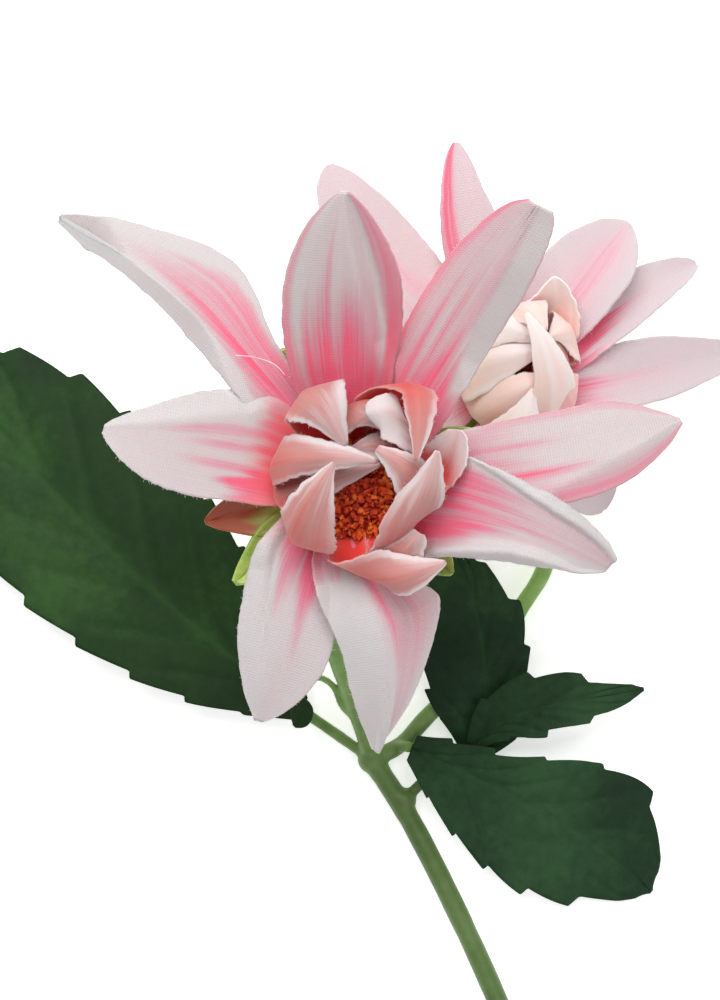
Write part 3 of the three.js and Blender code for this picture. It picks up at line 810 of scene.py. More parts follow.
@dataclass(frozen=True)
class LeafCloth(Finish):
    """Heavier woven cloth, dipped dark green and pressed in a mould, with sunk veins and a faint wax."""

    dark: str = "132719"
    middle: str = "1D3721"
    light: str = "2F5230"
    back: str = "5C7A48"
    thread: float = 0.6  # real threads stand 0.45 mm apart

    def build(self) -> bpy.types.Material:
        """Makes the leaf's nodes.

        Returns:
            The finished material.
        """
        made = self.start()
        tree = made.tree
        made.shader.inputs["Specular IOR Level"].default_value = 0.2
        place = own_place(tree)
        vein, face = (painted(tree, name) for name in ("dye", "face"))
        cloud = noise(tree, place, 28.0, 2.0)
        speck = noise(tree, place, 420.0, 2.0)
        amount = plus(tree, times(tree, cloud, 0.8), times(tree, speck, 0.2))
        colour = ramp(tree, amount, [(0.3, self.dark), (0.72, self.light), (0.52, self.middle)])
        under = times(tree, sums(tree, "SUBTRACT", 1.0, face), 0.2, clamp=True)
        colour = blend(tree, under, colour, linear(self.back))
        colour = blend(tree, times(tree, vein, 0.55, clamp=True), colour, linear(self.light))
        made.colour(colour)
        flat = add(tree, "ShaderNodeSeparateXYZ",
                   {0: add(tree, "ShaderNodeUVMap", uv_map="cloth").outputs[0]})
        turn = 2 * math.pi / self.thread
        across = sums(tree, "SINE", times(tree, flat.outputs[0], turn))
        along = sums(tree, "SINE", times(tree, flat.outputs[1], turn))
        made.bump(plus(tree, times(tree, times(tree, across, along), 0.3), speck), 0.3, 0.00012)
        return made.material


@dataclass(frozen=True)
class SoftPlastic(Finish):
    """Polyethylene moulded over wire or into a calyx: matt, a little waxy and a mottled green."""

    dark: str = "4F7A33"
    light: str = "86AF55"
    blotch: str = "6C9544"
    stain: str = "A23426"
    grain: float = 160.0
    end_shade: float = 1.0  # how light the plastic is towards the cut end: painted shade on the lower stem
    # Places along the spray between which that painted shade fades out towards the blooms, in metres
    shade_span: tuple[float, float] = (-0.022, 0.012)

    def build(self) -> bpy.types.Material:
        """Makes the plastic's nodes.

        Returns:
            The finished material.
        """
        made = self.start()
        tree = made.tree
        place = own_place(tree)
        cloud = noise(tree, place, self.grain, 3.0)
        fleck = noise(tree, place, self.grain * 9, 2.0)
        amount = plus(tree, times(tree, cloud, 0.75), times(tree, fleck, 0.25))
        colour = ramp(tree, amount, [(0.32, self.dark), (0.68, self.light), (0.5, self.blotch)])
        # Painted shade: the stem is darker towards its cut end.
        length = add(tree, "ShaderNodeSeparateXYZ", {0: place}).outputs[1]
        start, end = self.shade_span
        stem_shade = add(tree, "ShaderNodeMapRange",
                    {0: length, 1: start, 2: end, 3: self.end_shade, 4: 1.0}).outputs[0]
        colour = shaded(tree, colour, stem_shade)
        colour = blend(tree, painted(tree, "dye"), colour, linear(self.stain))
        made.colour(colour)
        made.bump(fleck, 0.25, 0.0001)
        made.glow_through(0.1, (0.5, 1.0, 0.3), 0.001)
        return made.material


@dataclass(frozen=True)
class FlockedCrumb(Finish):
    """Dyed flock glued on a foam button: rust and orange crumbs with dark gaps, and no shine at all."""

    dark: str = "9C200C"
    rust: str = "CE441A"
    orange: str = "E67C30"

    def build(self) -> bpy.types.Material:
        """Makes the flock's nodes.

        Returns:
            The finished material.
        """
        made = self.start()
        tree = made.tree
        place = own_place(tree)
        tint = painted(tree, "tint")
        cloud = noise(tree, place, 900.0, 3.0)
        amount = plus(tree, times(tree, tint, 0.65), times(tree, cloud, 0.35))
        made.colour(ramp(tree, amount, [(0.15, self.dark), (0.85, self.orange), (0.5, self.rust)]))
        made.bump(cloud, 0.6, 0.0002)
        return made.material


@dataclass(frozen=True)
class LooseFibre(Finish):
    """Raw polyester fibre at a cut margin: whitish, half clear and silky."""

    white: str = "F4EEEE"
    pink: str = "EFC6CD"

    def build(self) -> bpy.types.Material:
        """Makes the fibre's nodes.

        Returns:
            The finished material.
        """
        made = self.start()
        shade = noise(made.tree, own_place(made.tree), 300.0, 2.0)
        made.colour(ramp(made.tree, shade, [(0.35, self.white), (0.7, self.pink)]))
        return made.material


@dataclass(frozen=True)
class Tabletop(Finish):
    """Opal acrylic of a light table: plain and pale, faintly clouded and faintly lit from below."""

    pale: str = "FBFBFB"
    paler: str = "F6F6F6"
    glow: float = 0.6

    def build(self) -> bpy.types.Material:
        """Makes the table's nodes.

        Returns:
            The finished material.
        """
        made = self.start()
        shade = noise(made.tree, own_place(made.tree), 3.0, 2.0)
        colour = ramp(made.tree, shade, [(0.3, self.paler), (0.7, self.pale)])
        made.colour(colour)
        made.colour(colour, "Emission Color")
        made.shader.inputs["Emission Strength"].default_value = self.glow
        return made.material


# The spray's own sizes, in millimetres


def strokes(*rows: tuple[float, float, float, float, float, float]) -> tuple[Stroke, ...]:
    """Strokes from rows of: s at start and end, t at start and end, width, strength."""
    return tuple(Stroke((a, b), (c, d), w, k) for a, b, c, d, w, k in rows)

# Outer petals of the front bloom, clockwise from the upper left
FRONT_OUTER = (
    Blade(line=((-5.5, 5, 0), (-14.5, 18, 2.5), (-36, 42, 12), (-60, 54.5, 6)),
          face=((0.1, -0.3, 1), (0.5, 0.4, 1)), left=(4, 6.5, 6, 3.3, 2, 0.5),
          right=(4, 5, 7, 13, 8.4, 0.5), cup=(8, 8), roll_right=(0, -10), ripple=0.3,
          folds=(Fold(-1, -1.5, (0.34, 0.44, 0.57, 0.77, 0.85, 0.92), (-1.1, -0.8, -0.2, -0.1, 0.3, 1)),)
          ,
          paint=Paint((0.25, 0.75), 0.65,
                      strokes((0.35, 0.45, 0.05, 0.9, 0.3, 0.2), (0.05, 0.3, 0.35, 0.85, 0.08, 0.35),
                              (0.75, 0.8, 0.2, 0.7, 0.1, 0.2), (1.05, 1.05, 0.4, 1.2, 0.28, -0.6),
                              # The stroke from s -0.6 to 0.0 leaves an undyed line along the fold:
                              # partly the pale folded edge, partly a painted highlight on it.
                              (-0.6, 0.0, 0.42, 1.0, 0.16, -0.4), (-1, -0.9, 0.3, 1.3, 0.5, -0.8)),
                      (0, 0.06))),
    Blade(line=((-1, 6.5, 0.5), (-2.5, 18.5, 2.5), (-4.5, 36.5, 24), (-2.5, 56.5, 34)),
          face=((0, -0.5, 1), (-0.2, -0.6, 1)), left=(4, 8, 10.8, 11.8, 9.6, 1),
          right=(4, 7, 10.3, 12, 10.5, 1), round=1.8, cup=(5, 5), roll_left=(0, -20),
          roll_right=(-10, -20),
          folds=(Fold(1, -1.5, (0.25, 0.33, 0.5, 0.66, 1), (1.1, 1, 0.55, 0.35, 0.05)),
                 Fold(1, 1.75, (0.25, 0.33, 0.5, 0.66, 1), (1.3, 1.15, 0.72, 0.52, 0.25))),
          paint=Paint((0.22, 0.66), 0.8,
                      strokes((0.15, 0.15, 0.05, 0.75, 0.16, 0.55), (-0.32, -0.2, 0.2, 1.0, 0.05, 0.5),
                              (-0.48, -0.36, 0.15, 0.8, 0.05, 0.4), (-1, -0.92, 0.2, 1.4, 0.12, 0.5),
                              # The stroke from s 0.8 to 0.1 keeps the valley past the fold pale: painted
                              # light in the fold's shade.
                              (0.8, 0.1, 0.33, 1.5, 0.07, -0.5), (-0.75, -0.7, 0.3, 1.4, 0.08, -0.3),
                              (0.85, 0.7, 0.15, 1.4, 0.3, 0.55), (1, 1, 0.2, 1.6, 0.05, 0.5),
                              (-0.7, -0.6, 0.1, 0.6, 0.12, 0.2), (0.55, 0.6, 0.1, 0.5, 0.1, 0.2)),
                      (0.05, 0.3))),
    Blade(line=((4, 5, 0.5), (11, 14.5, 2.5), (26, 39.5, 22), (34.5, 54, 32)),
          face=((0, -0.4, 1), (-0.5, -0.2, 1)), left=(4, 7.6, 9.8, 10.7, 9, 2.3),
          right=(4, 6.5, 6.6, 6.3, 6, 3), round=2, fold=(0, 0), cup=(6, 6), roll_left=(0, -20),
          folds=(Fold(1, -0.55, (0.4, 0.49, 0.56, 0.7, 0.8, 1), (1.1, 0.4, 0.2, 0.05, 0.05, -0.35)),),
          paint=Paint((0.15, 0.5), 0.65,
                      strokes((-1, -0.95, 0.4, 1.6, 0.15, 0.7), (1, 1, 0.6, 1.6, 0.08, 0.5),
                              (-0.35, -0.25, 0.1, 0.85, 0.06, 0.6), (-0.1, 0.05, 0.1, 0.62, 0.08, 0.5),
                              (0.2, 0.3, 0.1, 0.55, 0.1, 0.5), (0.55, 0.5, 0.1, 0.5, 0.08, 0.4),
                              # The stroke from s 0.75 to 0.5 keeps the facet past the fold undyed and
                              # white: painted light on a facet turned from the key light.
                              (0.75, 0.5, 0.42, 1.6, 0.35, -0.6), (-0.5, -0.5, 0.3, 1.1, 0.3, 0.02),
                              (0.1, 0.1, 0.2, 1.0, 0.25, 0.12), (-0.6, -0.55, 0.2, 0.75, 0.05, 0.4)),
                      (0.02, 0.2), 0.14)),
    Blade(line=((6.5, 1.5, 0), (22.5, 4, 2.5), (46, 5, 11), (64, 13.1, 15)),
          face=((-0.2, -0.1, 1), (0, 0.3, 1)), left=(4, 7.5, 8.6, 9.2, 8.6, 0.5),
          right=(4, 8, 10, 9.4, 7, 0.5), round=1.4, fold=(0, 0), cup=(8, 8), roll_left=(0, -20),
          folds=(Fold(1, -0.7, (0.5, 0.56, 0.63, 0.72, 0.86, 1), (0.9, 0.7, 0.58, 0.42, 0.28, 0)),),
          paint=Paint((0.05, 0.45), 0.45,
                      strokes((0.25, 0.3, 0.15, 0.78, 0.09, 0.7), (-0.4, -0.35, 0.15, 0.65, 0.1, 0.35),
                              (-0.05, 0.05, 0.1, 0.6, 0.08, 0.3), (-1, -0.95, 0.4, 1.5, 0.16, 0.45),
                              (1, 0.75, 0.55, 1.25, 0.28, 0.6), (0.6, 0.5, 0.2, 0.6, 0.2, 0.2)),
                      (0, 0.12))),
    Blade(line=((5.5, -2.5, -0.5), (15.5, -2, 5), (34, -5, 22), (50.4, -15.8, 9)),
          face=((-0.2, 0, 1), (0.3, -0.45, 1)), left=(4, 8.5, 10.2, 8.1, 6.2, 2),
          right=(4, 10.8, 10.2, 8.8, 6.5, 1.5), round=2, fold=(0, 0), cup=(8, 4),
          folds=(Fold(-1, 0.8, (0.4, 0.48, 0.58, 0.74, 0.89, 1),
                      (-1, -0.88, -0.76, -0.52, -0.48, -0.4)),
                 Fold(-1, -2, (0.4, 0.48, 0.58, 0.74, 0.89, 1),
                      (-1.1, -0.98, -0.9, -0.74, -0.74, -0.7)),
                 Fold(1, 1.3, (0.15, 0.3, 0.4, 0.52, 0.63, 0.75, 0.9),
                      (1, 0.76, 0.7, 0.61, 0.53, 0.52, 0.8)),
                 Fold(1, -2.4, (0.15, 0.3, 0.4, 0.52, 0.63, 0.75, 0.9),
                      (1.1, 0.9, 0.86, 0.79, 0.71, 0.72, 0.95))),
          paint=Paint((0.22, 0.6), 0.66,
                      strokes((-0.3, -0.1, 0.2, 0.8, 0.06, 0.5), (0.0, 0.15, 0.2, 0.85, 0.07, 0.55),
                              (0.35, 0.3, 0.15, 0.65, 0.08, 0.6), (0.6, 0.5, 0.15, 0.5, 0.08, 0.5),
                              # The last two strokes keep both rims undyed: partly the cloth's white
                              # margins, partly a painted highlight where the rims catch the light.
                              (1, 0.75, 0.2, 1.4, 0.25, -0.8), (-1, -0.75, 0.35, 1.6, 0.2, -0.6)),
                      (-0.1, 0.18), 0.15)),
    Blade(line=((-0.5, -6.5, 0), (-8, -15, 6.5), (7, -33.5, 11), (3.5, -54, -8)),
          face=((0, 0.3, 1), (0.1, -0.2, 1)), left=(4, 9.5, 14.2, 18.8, 13.6, 0.8),
          right=(4, 6.5, 7, 5.5, 5, 0.8), round=1.9, fold=(-12, -20), cup=(0, -5), ripple=0.5,
          creases=strokes((-0.22, -0.1, 0.1, 1.9, 0.12, 1.1), (-0.5, -0.4, 0.2, 1.2, 0.14, -0.7)),
          folds=(Fold(1, 0.9, (0.15, 0.38, 0.45, 0.55), (0.8, 0.6, 0.8, 1.1)),
                 Fold(-1, -0.7, (0.3, 0.58, 0.78, 1), (-0.3, -0.25, -0.12, -0.1))),
          paint=Paint((0.12, 0.42), 0.7,
                      # The strokes from s -0.4 and -0.55 lay a pinkish wash right of the ridge: painted
                      # shade where the petal turns from the light and lies under the inner petals.
                      strokes((-0.3, -0.38, 0.3, 0.85, 0.07, 0.5), (-0.4, -0.5, 0.1, 0.6, 0.24, 0.4),
                              (-0.55, -0.6, 0.3, 1.4, 0.3, 0.18), (-0.75, -0.7, 0.2, 0.9, 0.4, 0.25),
                              (0.75, 0.6, 0.4, 1.8, 0.5, -0.8)), (0.08, 0.28), 0.0)),
    Blade(line=((-4.5, -4.5, -0.5), (-11.5, -11, 0), (-14, -28.5, 3), (-20.5, -48, -8)),
          face=((0, 0.3, 1), (0, 0, 1)), left=(4, 7, 8.5, 10, 9.3, 0.8), right=(4, 8, 10.5, 10, 8, 0.8),
          round=1.9, fold=(0, 0), cup=(8, 4),
          folds=(Fold(1, -0.6, (0.3, 0.45, 0.7, 1), (1.1, 0.6, 0.45, 0.4)),),
          creases=strokes((0.66, 0.34, 0.15, 0.95, 0.12, -1.3), (0.9, 0.58, 0.15, 1.3, 0.16, 0.7)),
          paint=Paint((0.22, 0.56), 0.75,
                      strokes((0.1, -0.35, 0.05, 0.85, 0.09, 0.45), (0.42, 0.26, 0.1, 0.7, 0.11, 0.4),
                              (-0.55, -0.6, 0.05, 0.6, 0.2, 0.2), (0.2, -0.25, 0.1, 0.6, 0.38, 0.5),
                              (0.85, 0.7, 0.05, 1.8, 0.3, -0.9)), (0.1, 0.36))),
    Blade(line=((-6.5, 0.5, 0), (-20, 6, 2.5), (-37.5, 7.5, 14), (-50.5, 11.5, 14)),
          face=((0.2, 0, 1), (0, 0, 1)), left=(4, 7.5, 8.6, 9, 7, 0.8),
          right=(5, 12, 14, 11.5, 6.8, 0.8), fold=(0, 0), cup=(6, 6),
          folds=(Fold(1, -0.8, (0.25, 0.4, 0.6, 1), (1.1, 0.7, 0.6, 0.5)),),
          # The deep, steeply ending dye at the base and the coral up to t 0.4 are partly the petal's own
          # pink base and partly painted shade on its steep root.
          paint=Paint((0.26, 0.4), 1.0,
                      strokes((0.45, 0.35, 0.1, 0.85, 0.07, 0.45), (0.22, 0.15, 0.1, 0.7, 0.06, 0.4),
                              (-0.2, -0.2, 0.1, 0.72, 0.09, 0.45), (-0.6, -0.5, 0.1, 0.55, 0.1, 0.3),
                              # The last stroke keeps the upper margin undyed: partly a white margin,
                              # partly a painted highlight where the fold catches the light.
                              (0.95, 0.85, 0.25, 1.5, 0.25, -0.5)), (0.2, 0.4))),
)

SHORT = (2.8, 5.2, 6.6, 5.8, 3.8, 0.4)
SLIM = (2.4, 3.8, 5, 4.4, 3, 0.4)
WIDE = (3, 6.2, 7.6, 6.6, 4.2, 0.4)
SQUARE = (2.6, 4.2, 5.2, 5.4, 5, 1.6)
DOWN = (0, 0, -1)
TURNED = strokes((0.9, 0.85, 0.3, 1.4, 0.3, -0.4), (-0.95, -0.9, 0.4, 1.4, 0.2, -0.35),
                 (0.05, 0.0, 0.2, 1.1, 0.2, 0.12))
# The coral ranges below reach far up the petals: partly their own dye, partly painted shade for the red
# hollows among them.
PEACH = Paint((0.25, 0.9), 0.65, TURNED, (0.12, 0.66), 0.2)
RED = Paint((0.4, 1.0), 0.6, TURNED, (0.45, 1.0), 0.35)
PALE = Paint((0.25, 1.0), 0.7, TURNED, (0.1, 0.6), 0.25)
BLUSHED = Paint((0.3, 0.95), 0.6, TURNED, (0.25, 0.62), 0.2)
SPOON = Paint((0.3, 0.75), 0.6, TURNED, (0.45, 0.85), 0.05)
WHITE_TIP = Paint((0.3, 0.75), 0.6, TURNED, (0.1, 0.6), 0.0)


def curl(line: tuple[Point, Point, Point, Point], face: tuple[Point, Point],
         left: tuple[float, ...] = SHORT, right: tuple[float, ...] = SHORT, paint: Paint = PEACH,
         blunt: float = 1.2) -> Blade:
    """An inner petal, which stands on the rim of the disc and curls in over it."""
    return Blade(line=line, face=face, left=left, right=right, fold=(14, 24), cup=(8, 12), round=blunt,
                 ripple=0.15, paint=paint)

FRONT_INNER = (
    curl(((-6.4, 7.8, 2.7), (-15, 24, 10), (-10, 21, 27), (-2.5, 8, 17)), ((0.5, -0.8, 0.3), DOWN),
         (3, 5, 6.5, 6.5, 4.5, 0.5), (3, 5.5, 7.5, 8, 6, 0.8)),
    curl(((-10, 0.9, 2.7), (-26.5, 3.5, 9), (-13, 7, 24), (4, 5, 16)), ((1, -0.1, 0.3), DOWN),
         (2.4, 3, 3.8, 3.6, 2.8, 0.4)),
    curl(((-9.4, -3.2, 2.7), (-25, -3.5, 8), (-13, 1, 14), (4.5, 4.5, 9)), ((1, 0.3, 0.3), DOWN)),
    replace(curl(((-7.2, -6.8, 2.7), (-17.5, -17.5, 9), (-13, -6, 26), (-4.7, 4.7, 21)),
                 ((0.7, 0.7, 0.3), DOWN), (2.2, 6, 9, 8, 5.5, 0.5), (2.6, 5.5, 6, 4.8, 3.2, 0.4), PALE),
            fold=(26, 24)),
    curl(((-0.9, -10, 2.7), (-3.5, -22, 9), (7.5, -19, 16), (17.5, -15, 11)), ((0, 1, 0.3), DOWN),
         SHORT, (3, 6, 7, 6, 4, 0.5), BLUSHED),
    curl(((4.9, -9.4, 2.7), (5, -16.5, 7), (9, -15, 12), (12.3, -9.2, 14)), ((-0.3, 1, 0.3), DOWN),
         (2.4, 3.8, 4.2, 4, 3.4, 1), SQUARE, PEACH, 2.2),
    curl(((6.8, -7.2, 2.7), (7.5, -15.5, 8), (13, -5.5, 22), (15.5, 7, 24)), ((-0.7, 0.7, 0.3), DOWN)),
    curl(((9.7, -2.3, 2.7), (18, -6, 8), (14, 1, 22), (3.6, 7.4, 18)), ((-1, 0.2, 0.3), DOWN),
         (2.8, 4.4, 5, 4.8, 3.8, 1), (2.8, 5.2, 6.6, 5.8, 3.8, 0.8), PALE),
    curl(((10, 0.9, 2.7), (15.5, 0, 6), (19, 4, 10), (19.5, 11.5, 11)),
         ((-0.8, 0.1, 0.5), (-0.3, 0.1, 0.9)), SQUARE, SQUARE, SPOON, 2.2),
    curl(((5.8, 9, 2.7), (6.5, 22, 9), (14, 28, 28), (11.3, 5, 24)), ((-0.3, -0.9, 0.5), DOWN),
         (3, 8, 6, 3, 3, 0.5), (3, 4, 4.5, 4.5, 4, 0.5), RED),
    curl(((9, 5.7, 2.7), (13, 10, 9), (9.5, 16.5, 23), (1.5, 14.5, 18)), ((-0.8, -0.5, 0.3), DOWN),
         (2.4, 3.4, 4, 4.4, 4.2, 1.6), SQUARE, WHITE_TIP, 2.2),
    curl(((-0.9, 10, 2.7), (-2.5, 20, 7), (2.5, 18.5, 18), (5.5, 11, 13)), ((0, -1, 0.3), DOWN),
         (2.8, 5.2, 7.5, 8, 5, 0.4)),
    curl(((8.4, 5.3, 2.7), (13.5, 7.5, 7), (7.5, 9.5, 13), (-1.5, 7.5, 9)), ((-0.8, -0.5, 0.3), DOWN),
         SLIM, SLIM),
)

BROAD = (4, 7, 9, 9, 7, 0.8)
NARROW = (4, 6, 7, 7, 5, 0.8)
NARROWER = (4, 5.4, 5.7, 5.6, 4.3, 0.8)
FAINT = Paint((0.05, 0.45), 0.5,
              strokes((0.1, 0.1, 0.1, 0.8, 0.15, 0.2), (-0.4, -0.3, 0.1, 0.7, 0.1, 0.2)), (0.0, 0.2),
              0.08)
PINK_BASE = Paint((0.22, 0.5), 0.75, strokes((0.1, 0.1, 0.1, 0.8, 0.2, 0.2)), (0.0, 0.2), 0.08)


def back_petal(line: tuple[Point, Point, Point, Point], face: tuple[Point, Point],
               left: tuple[float, ...] = BROAD, right: tuple[float, ...] = BROAD,
               paint: Paint = FAINT) -> Blade:
    """An outer petal of the back bloom, which is paler and blunter."""
    return Blade(line=line, face=face, left=left, right=right, round=2.1, paint=paint)


BACK_OUTER = (
    back_petal(((-5, 7, 0), (-18, 14, 4), (-33, 31.5, 12), (-39, 47, 6)),
               ((0.2, 0.2, 1), (0.2, 0.2, 1)), left=(4, 8, 9.5, 9.5, 7.5, 0.8)),
    back_petal(((-1, 8, 0), (-3, 18, 4), (-11, 30, 16), (-12, 51, 12)), ((0.2, 0, 1), (0.2, -0.2, 1)),
               NARROW, NARROW,
               Paint((0.1, 0.5), 0.5, strokes((-0.75, -0.7, 0.1, 1.6, 0.3, 0.95)), (0.0, 0.2), 0.1)),
    back_petal(((4.5, 6.5, 0), (10, 14, 4), (16, 23, 14), (26, 35.5, -4)),
               ((-0.1, 0.1, 1), (0.3, 0.4, 1)), (4, 8, 10, 10.5, 8, 0.8), (4, 6, 7.5, 8, 7.5, 0.8),
               replace(FAINT, strokes=strokes((0.1, 0.0, 0.2, 1.2, 0.4, 0.3)))),
    back_petal(((7.5, 3.5, 0), (15, 10, 4), (28, 22, 4), (42, 27.5, -16)), ((0, 0, 1), (0.3, 0.3, 1)),
               NARROWER, NARROWER, PINK_BASE),
    back_petal(((8, -1, 0), (16, 0, 4), (34.5, 4.5, 0), (54, 8.5, -25.7)), ((0, 0, 1), (0.2, 0, 1)),
               NARROW, NARROW, replace(PINK_BASE, base=(0.1, 0.4), depth=0.5)),
    back_petal(((5, -6, 0), (10.5, -12, 4), (16.5, -18.5, -2), (22, -27, -22)),
               ((0, 0, 1), (0.3, -0.3, 1)), (4, 6.5, 8, 8, 6.5, 0.8), (4, 6.5, 8, 8, 6.5, 0.8)),
    back_petal(((-1.5, -8, 0), (-3.5, -15, 4), (-5, -25, 2), (-5, -34.5, -14)),
               ((0, 0, 1), (0, -0.2, 1))),
    back_petal(((-8, -1.5, 0), (-16, -4, 4), (-26, -8, 12), (-38, -8.5, 6)), ((0, 0, 1), (-0.2, 0, 1))),
)

BACK_PEACH = Paint((0.2, 1.1), 0.5, (), (0.0, 0.5), 0.3)
BACK_PINK = Paint((0.3, 1.1), 0.9, (), (0.0, 0.9), 0.4)
BACK_PALE = Paint((0.2, 0.9), 0.5, (), (0.0, 0.5), 0.12)
BACK_INNER = (
    curl(((5, 8.7, 2.7), (8, 13.5, 6), (8, 17, 13), (6.5, 21, 17)),
         ((-0.5, -0.9, 0.6), (-0.2, -0.4, 0.9)), WIDE, WIDE, BACK_PALE, blunt=2.0),
    curl(((9.6, 2.8, 2.7), (13, 4, 8), (10, 6, 15), (4, 7, 17)), ((-0.9, -0.3, 0.3), DOWN), SHORT,
         SHORT, BACK_PINK),
    curl(((8.7, -5, 2.7), (15, -8, 8), (11, -4, 18), (4, 1, 16)), ((-0.9, 0.5, 0.3), DOWN), SHORT,
         SHORT, BACK_PINK),
    curl(((4.6, -8.9, 2.7), (8, -12, 10), (7, -3, 27), (-0.5, 12.5, 21)), ((-0.4, 0.9, 0.3), DOWN),
         SHORT, SLIM, BACK_PALE),
    curl(((-2.6, -9.6, 2.7), (-5, -19, 9), (-1, -14, 20), (1.5, -3, 17)), ((0.2, 1, 0.3), DOWN), SHORT,
         SHORT, BACK_PALE),
    curl(((-7.9, -6.1, 2.7), (-13, -10, 8), (-7, -5, 19), (6, 0, 16)), ((0.8, 0.6, 0.3), DOWN), WIDE,
         SHORT, BACK_PEACH, blunt=2.0),
    curl(((-9.9, 1, 2.7), (-18, 2, 9), (-10, 3, 21), (6, 6, 15)), ((1, -0.1, 0.3), DOWN), WIDE, SHORT,
         BACK_PALE),
    curl(((-7.4, 6.7, 2.7), (-14, 13, 9), (-7, 13, 22), (3, 7, 16)), ((0.7, -0.7, 0.3), DOWN), SHORT,
         SHORT, BACK_PALE),
    curl(((-1.7, 9.8, 2.7), (-3, 17, 9), (0, 18, 21), (4, 9, 19)), ((0.2, -1, 0.3), DOWN), SHORT, SHORT,
         BACK_PEACH),
    curl(((8, 6, 2.7), (14, 10.5, 8), (12, 12, 18), (5, 8, 17)), ((-0.8, -0.6, 0.3), DOWN), SHORT,
         SHORT, BACK_PEACH),
)

# Bracts under each bloom: their turns round its axis, in degrees
FRONT_BRACTS = (18, 68, 119, 144, 193, 218, 265, 317)
BACK_BRACTS = (10, 55, 100, 145, 190, 235, 280, 325)
STAINED_BRACT = 193
BRACT_LINE = ((7.6, -1.9), (14, -4.5), (22, -4.5), (32, -1.5))
BRACT_HALF = (2, 4.2, 6, 6, 4, 0.5)
SHORT_BRACT = (317, 0.82)  # one bract is cut shorter: its turn, and its share of the full length

LEAVES = {
    "leaf_left_large": Blade(line=((-13.5, -46.5, 6), (-36.5, -29.5, 14), (-72.5, 2, 14),
                                   (-97.5, 37, 0.45)), left=(3, 13, 19, 21, 17, 0.5),
                             right=(3, 15, 22, 24, 19, 0.5), teeth=9, depth=1.9, fold=(12, 8),
                             cup=(-12, -16), round=1.2),
    "leaf_left_small": Blade(line=((-13.5, -43.8, 14), (-12.5, -46, 14), (-12.5, -48, 13),
                                   (-14.5, -50, 12)), left=(1, 2, 2.5, 2.5, 2, 0.4),
                             right=(1, 2, 2.5, 2.5, 2, 0.4), teeth=2, depth=0.3, fold=(6, 6),
                             cup=(0, 0), round=1.2, ripple=0.1),
    "leaf_right_long": Blade(line=((24.6, -57.8, 3), (31.5, -44.5, 10), (27, -22.5, 14),
                                   (19, -6.5, 0.45)), left=(2, 11, 13, 12, 8, 0.5),
                             right=(2, 9, 9, 9.5, 4.5, 0.5), teeth=6, depth=1.6, fold=(4, 4),
                             cup=(-4, -6), round=1.2),
    "leaf_right_narrow": Blade(line=((25.5, -54.9, 6), (31.5, -45.5, 12), (46.5, -44.5, 18),
                                     (63, -42, 8)), left=(2, 6, 7.5, 6.5, 3, 0.4),
                               right=(1.6, 3.5, 5.5, 5, 3.8, 0.4), teeth=4, depth=1.6, fold=(8, 8),
                               cup=(0, -10), round=1.2),
    "leaf_right_broad": Blade(line=((11.5, -55, 9), (24.5, -60.5, 9), (46.5, -71, 8),
                                    (65.5, -88, 0.45)), left=(3, 5.5, 8, 14.5, 16.5, 0.5),
                              right=(3, 10, 15, 17, 13, 0.5), teeth=6, depth=1.8, fold=(10, 6),
                              cup=(-6, -12), round=1.2),
}

PALER_LEAVES = ("leaf_left_large", "leaf_left_small")


@dataclass(frozen=True)
class Run:
    """A round length of stem through its points, in millimetres."""

    radius: float
    points: tuple[Point, ...]
    swell: float = 0.0


FORK = (2.7, -58, 3.6)
STEM_RUNS = (
    Run(2.4, ((50, -165, 2.5), (32, -115, 3), (12, -73, 3.2), FORK), 0.25),
    Run(1.7,
        (FORK, (-2.2, -43.2, 14), (-5.8, -32, 24), (-6, -18, 36), (-3, -4, 47), (-0.2, 4.2, 54),
         (-0.3, 3.4, 60.5)), 0.3),
    Run(1.9,
        (FORK, (9, -54.8, 3.6), (15.6, -47.9, 3.2), (30.8, -33.5, 3.2), (35.8, -24.5, 3.4),
         (41.3, -15, 4.2), (43.2, 2, 5.5), (37.5, 15, 8), (32, 22.5, 13), (31.6, 24.1, 20.5)), 0.3),
    Run(1.3, (FORK, (-5, -52.5, 5), (-13, -46.9, 6)), 0.3),
    Run(0.8,
        ((-0.6, -49, 8.5), (-4, -45.5, 12.5), (-6, -40.8, 15), (-9.2, -39, 16), (-12.3, -40.6, 15.4),
         (-13.4, -43.4, 14.2))),
    Run(1.3, ((9.5, -67.5, 3.4), (16.1, -61.6, 3.2), (23.8, -58.2, 3.1)), 0.3),
    Run(0.8, ((22, -59, 3.4), (24.3, -56.4, 5.2), (25.2, -55.2, 5.9))),
    Run(1.3, ((8.6, -55, 5), (10.2, -54.8, 7.6), (11.3, -55, 9)), 0.2),
)
KNUCKLES = ((2.7, -58, 3.6, 3.3), (9.8, -67.2, 3.3, 2.9))  # place and radius of each swelling at a fork
# One long thread that hangs over a petal of the front bloom
LOOSE_THREAD = ((-25, 29, 74), (-21, 28.5, 76), (-17, 27, 77), (-15, 25, 76))


# Sub-assemblies


def dress(piece: bpy.types.Object, nodes: tuple[str, ...],
          finish: bpy.types.Material) -> None:
    """Gives a piece its finish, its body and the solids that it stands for.

    Args:
        piece: the finished piece.
        nodes: names of the solids that it stands for, or none.
        finish: the piece's material.
    """
    piece.data.materials.clear()
    piece.data.materials.append(finish)
    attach(piece, "root")
    if nodes:
        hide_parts(*nodes)
    log.info("%s: %d faces", piece.name, len(piece.data.polygons))


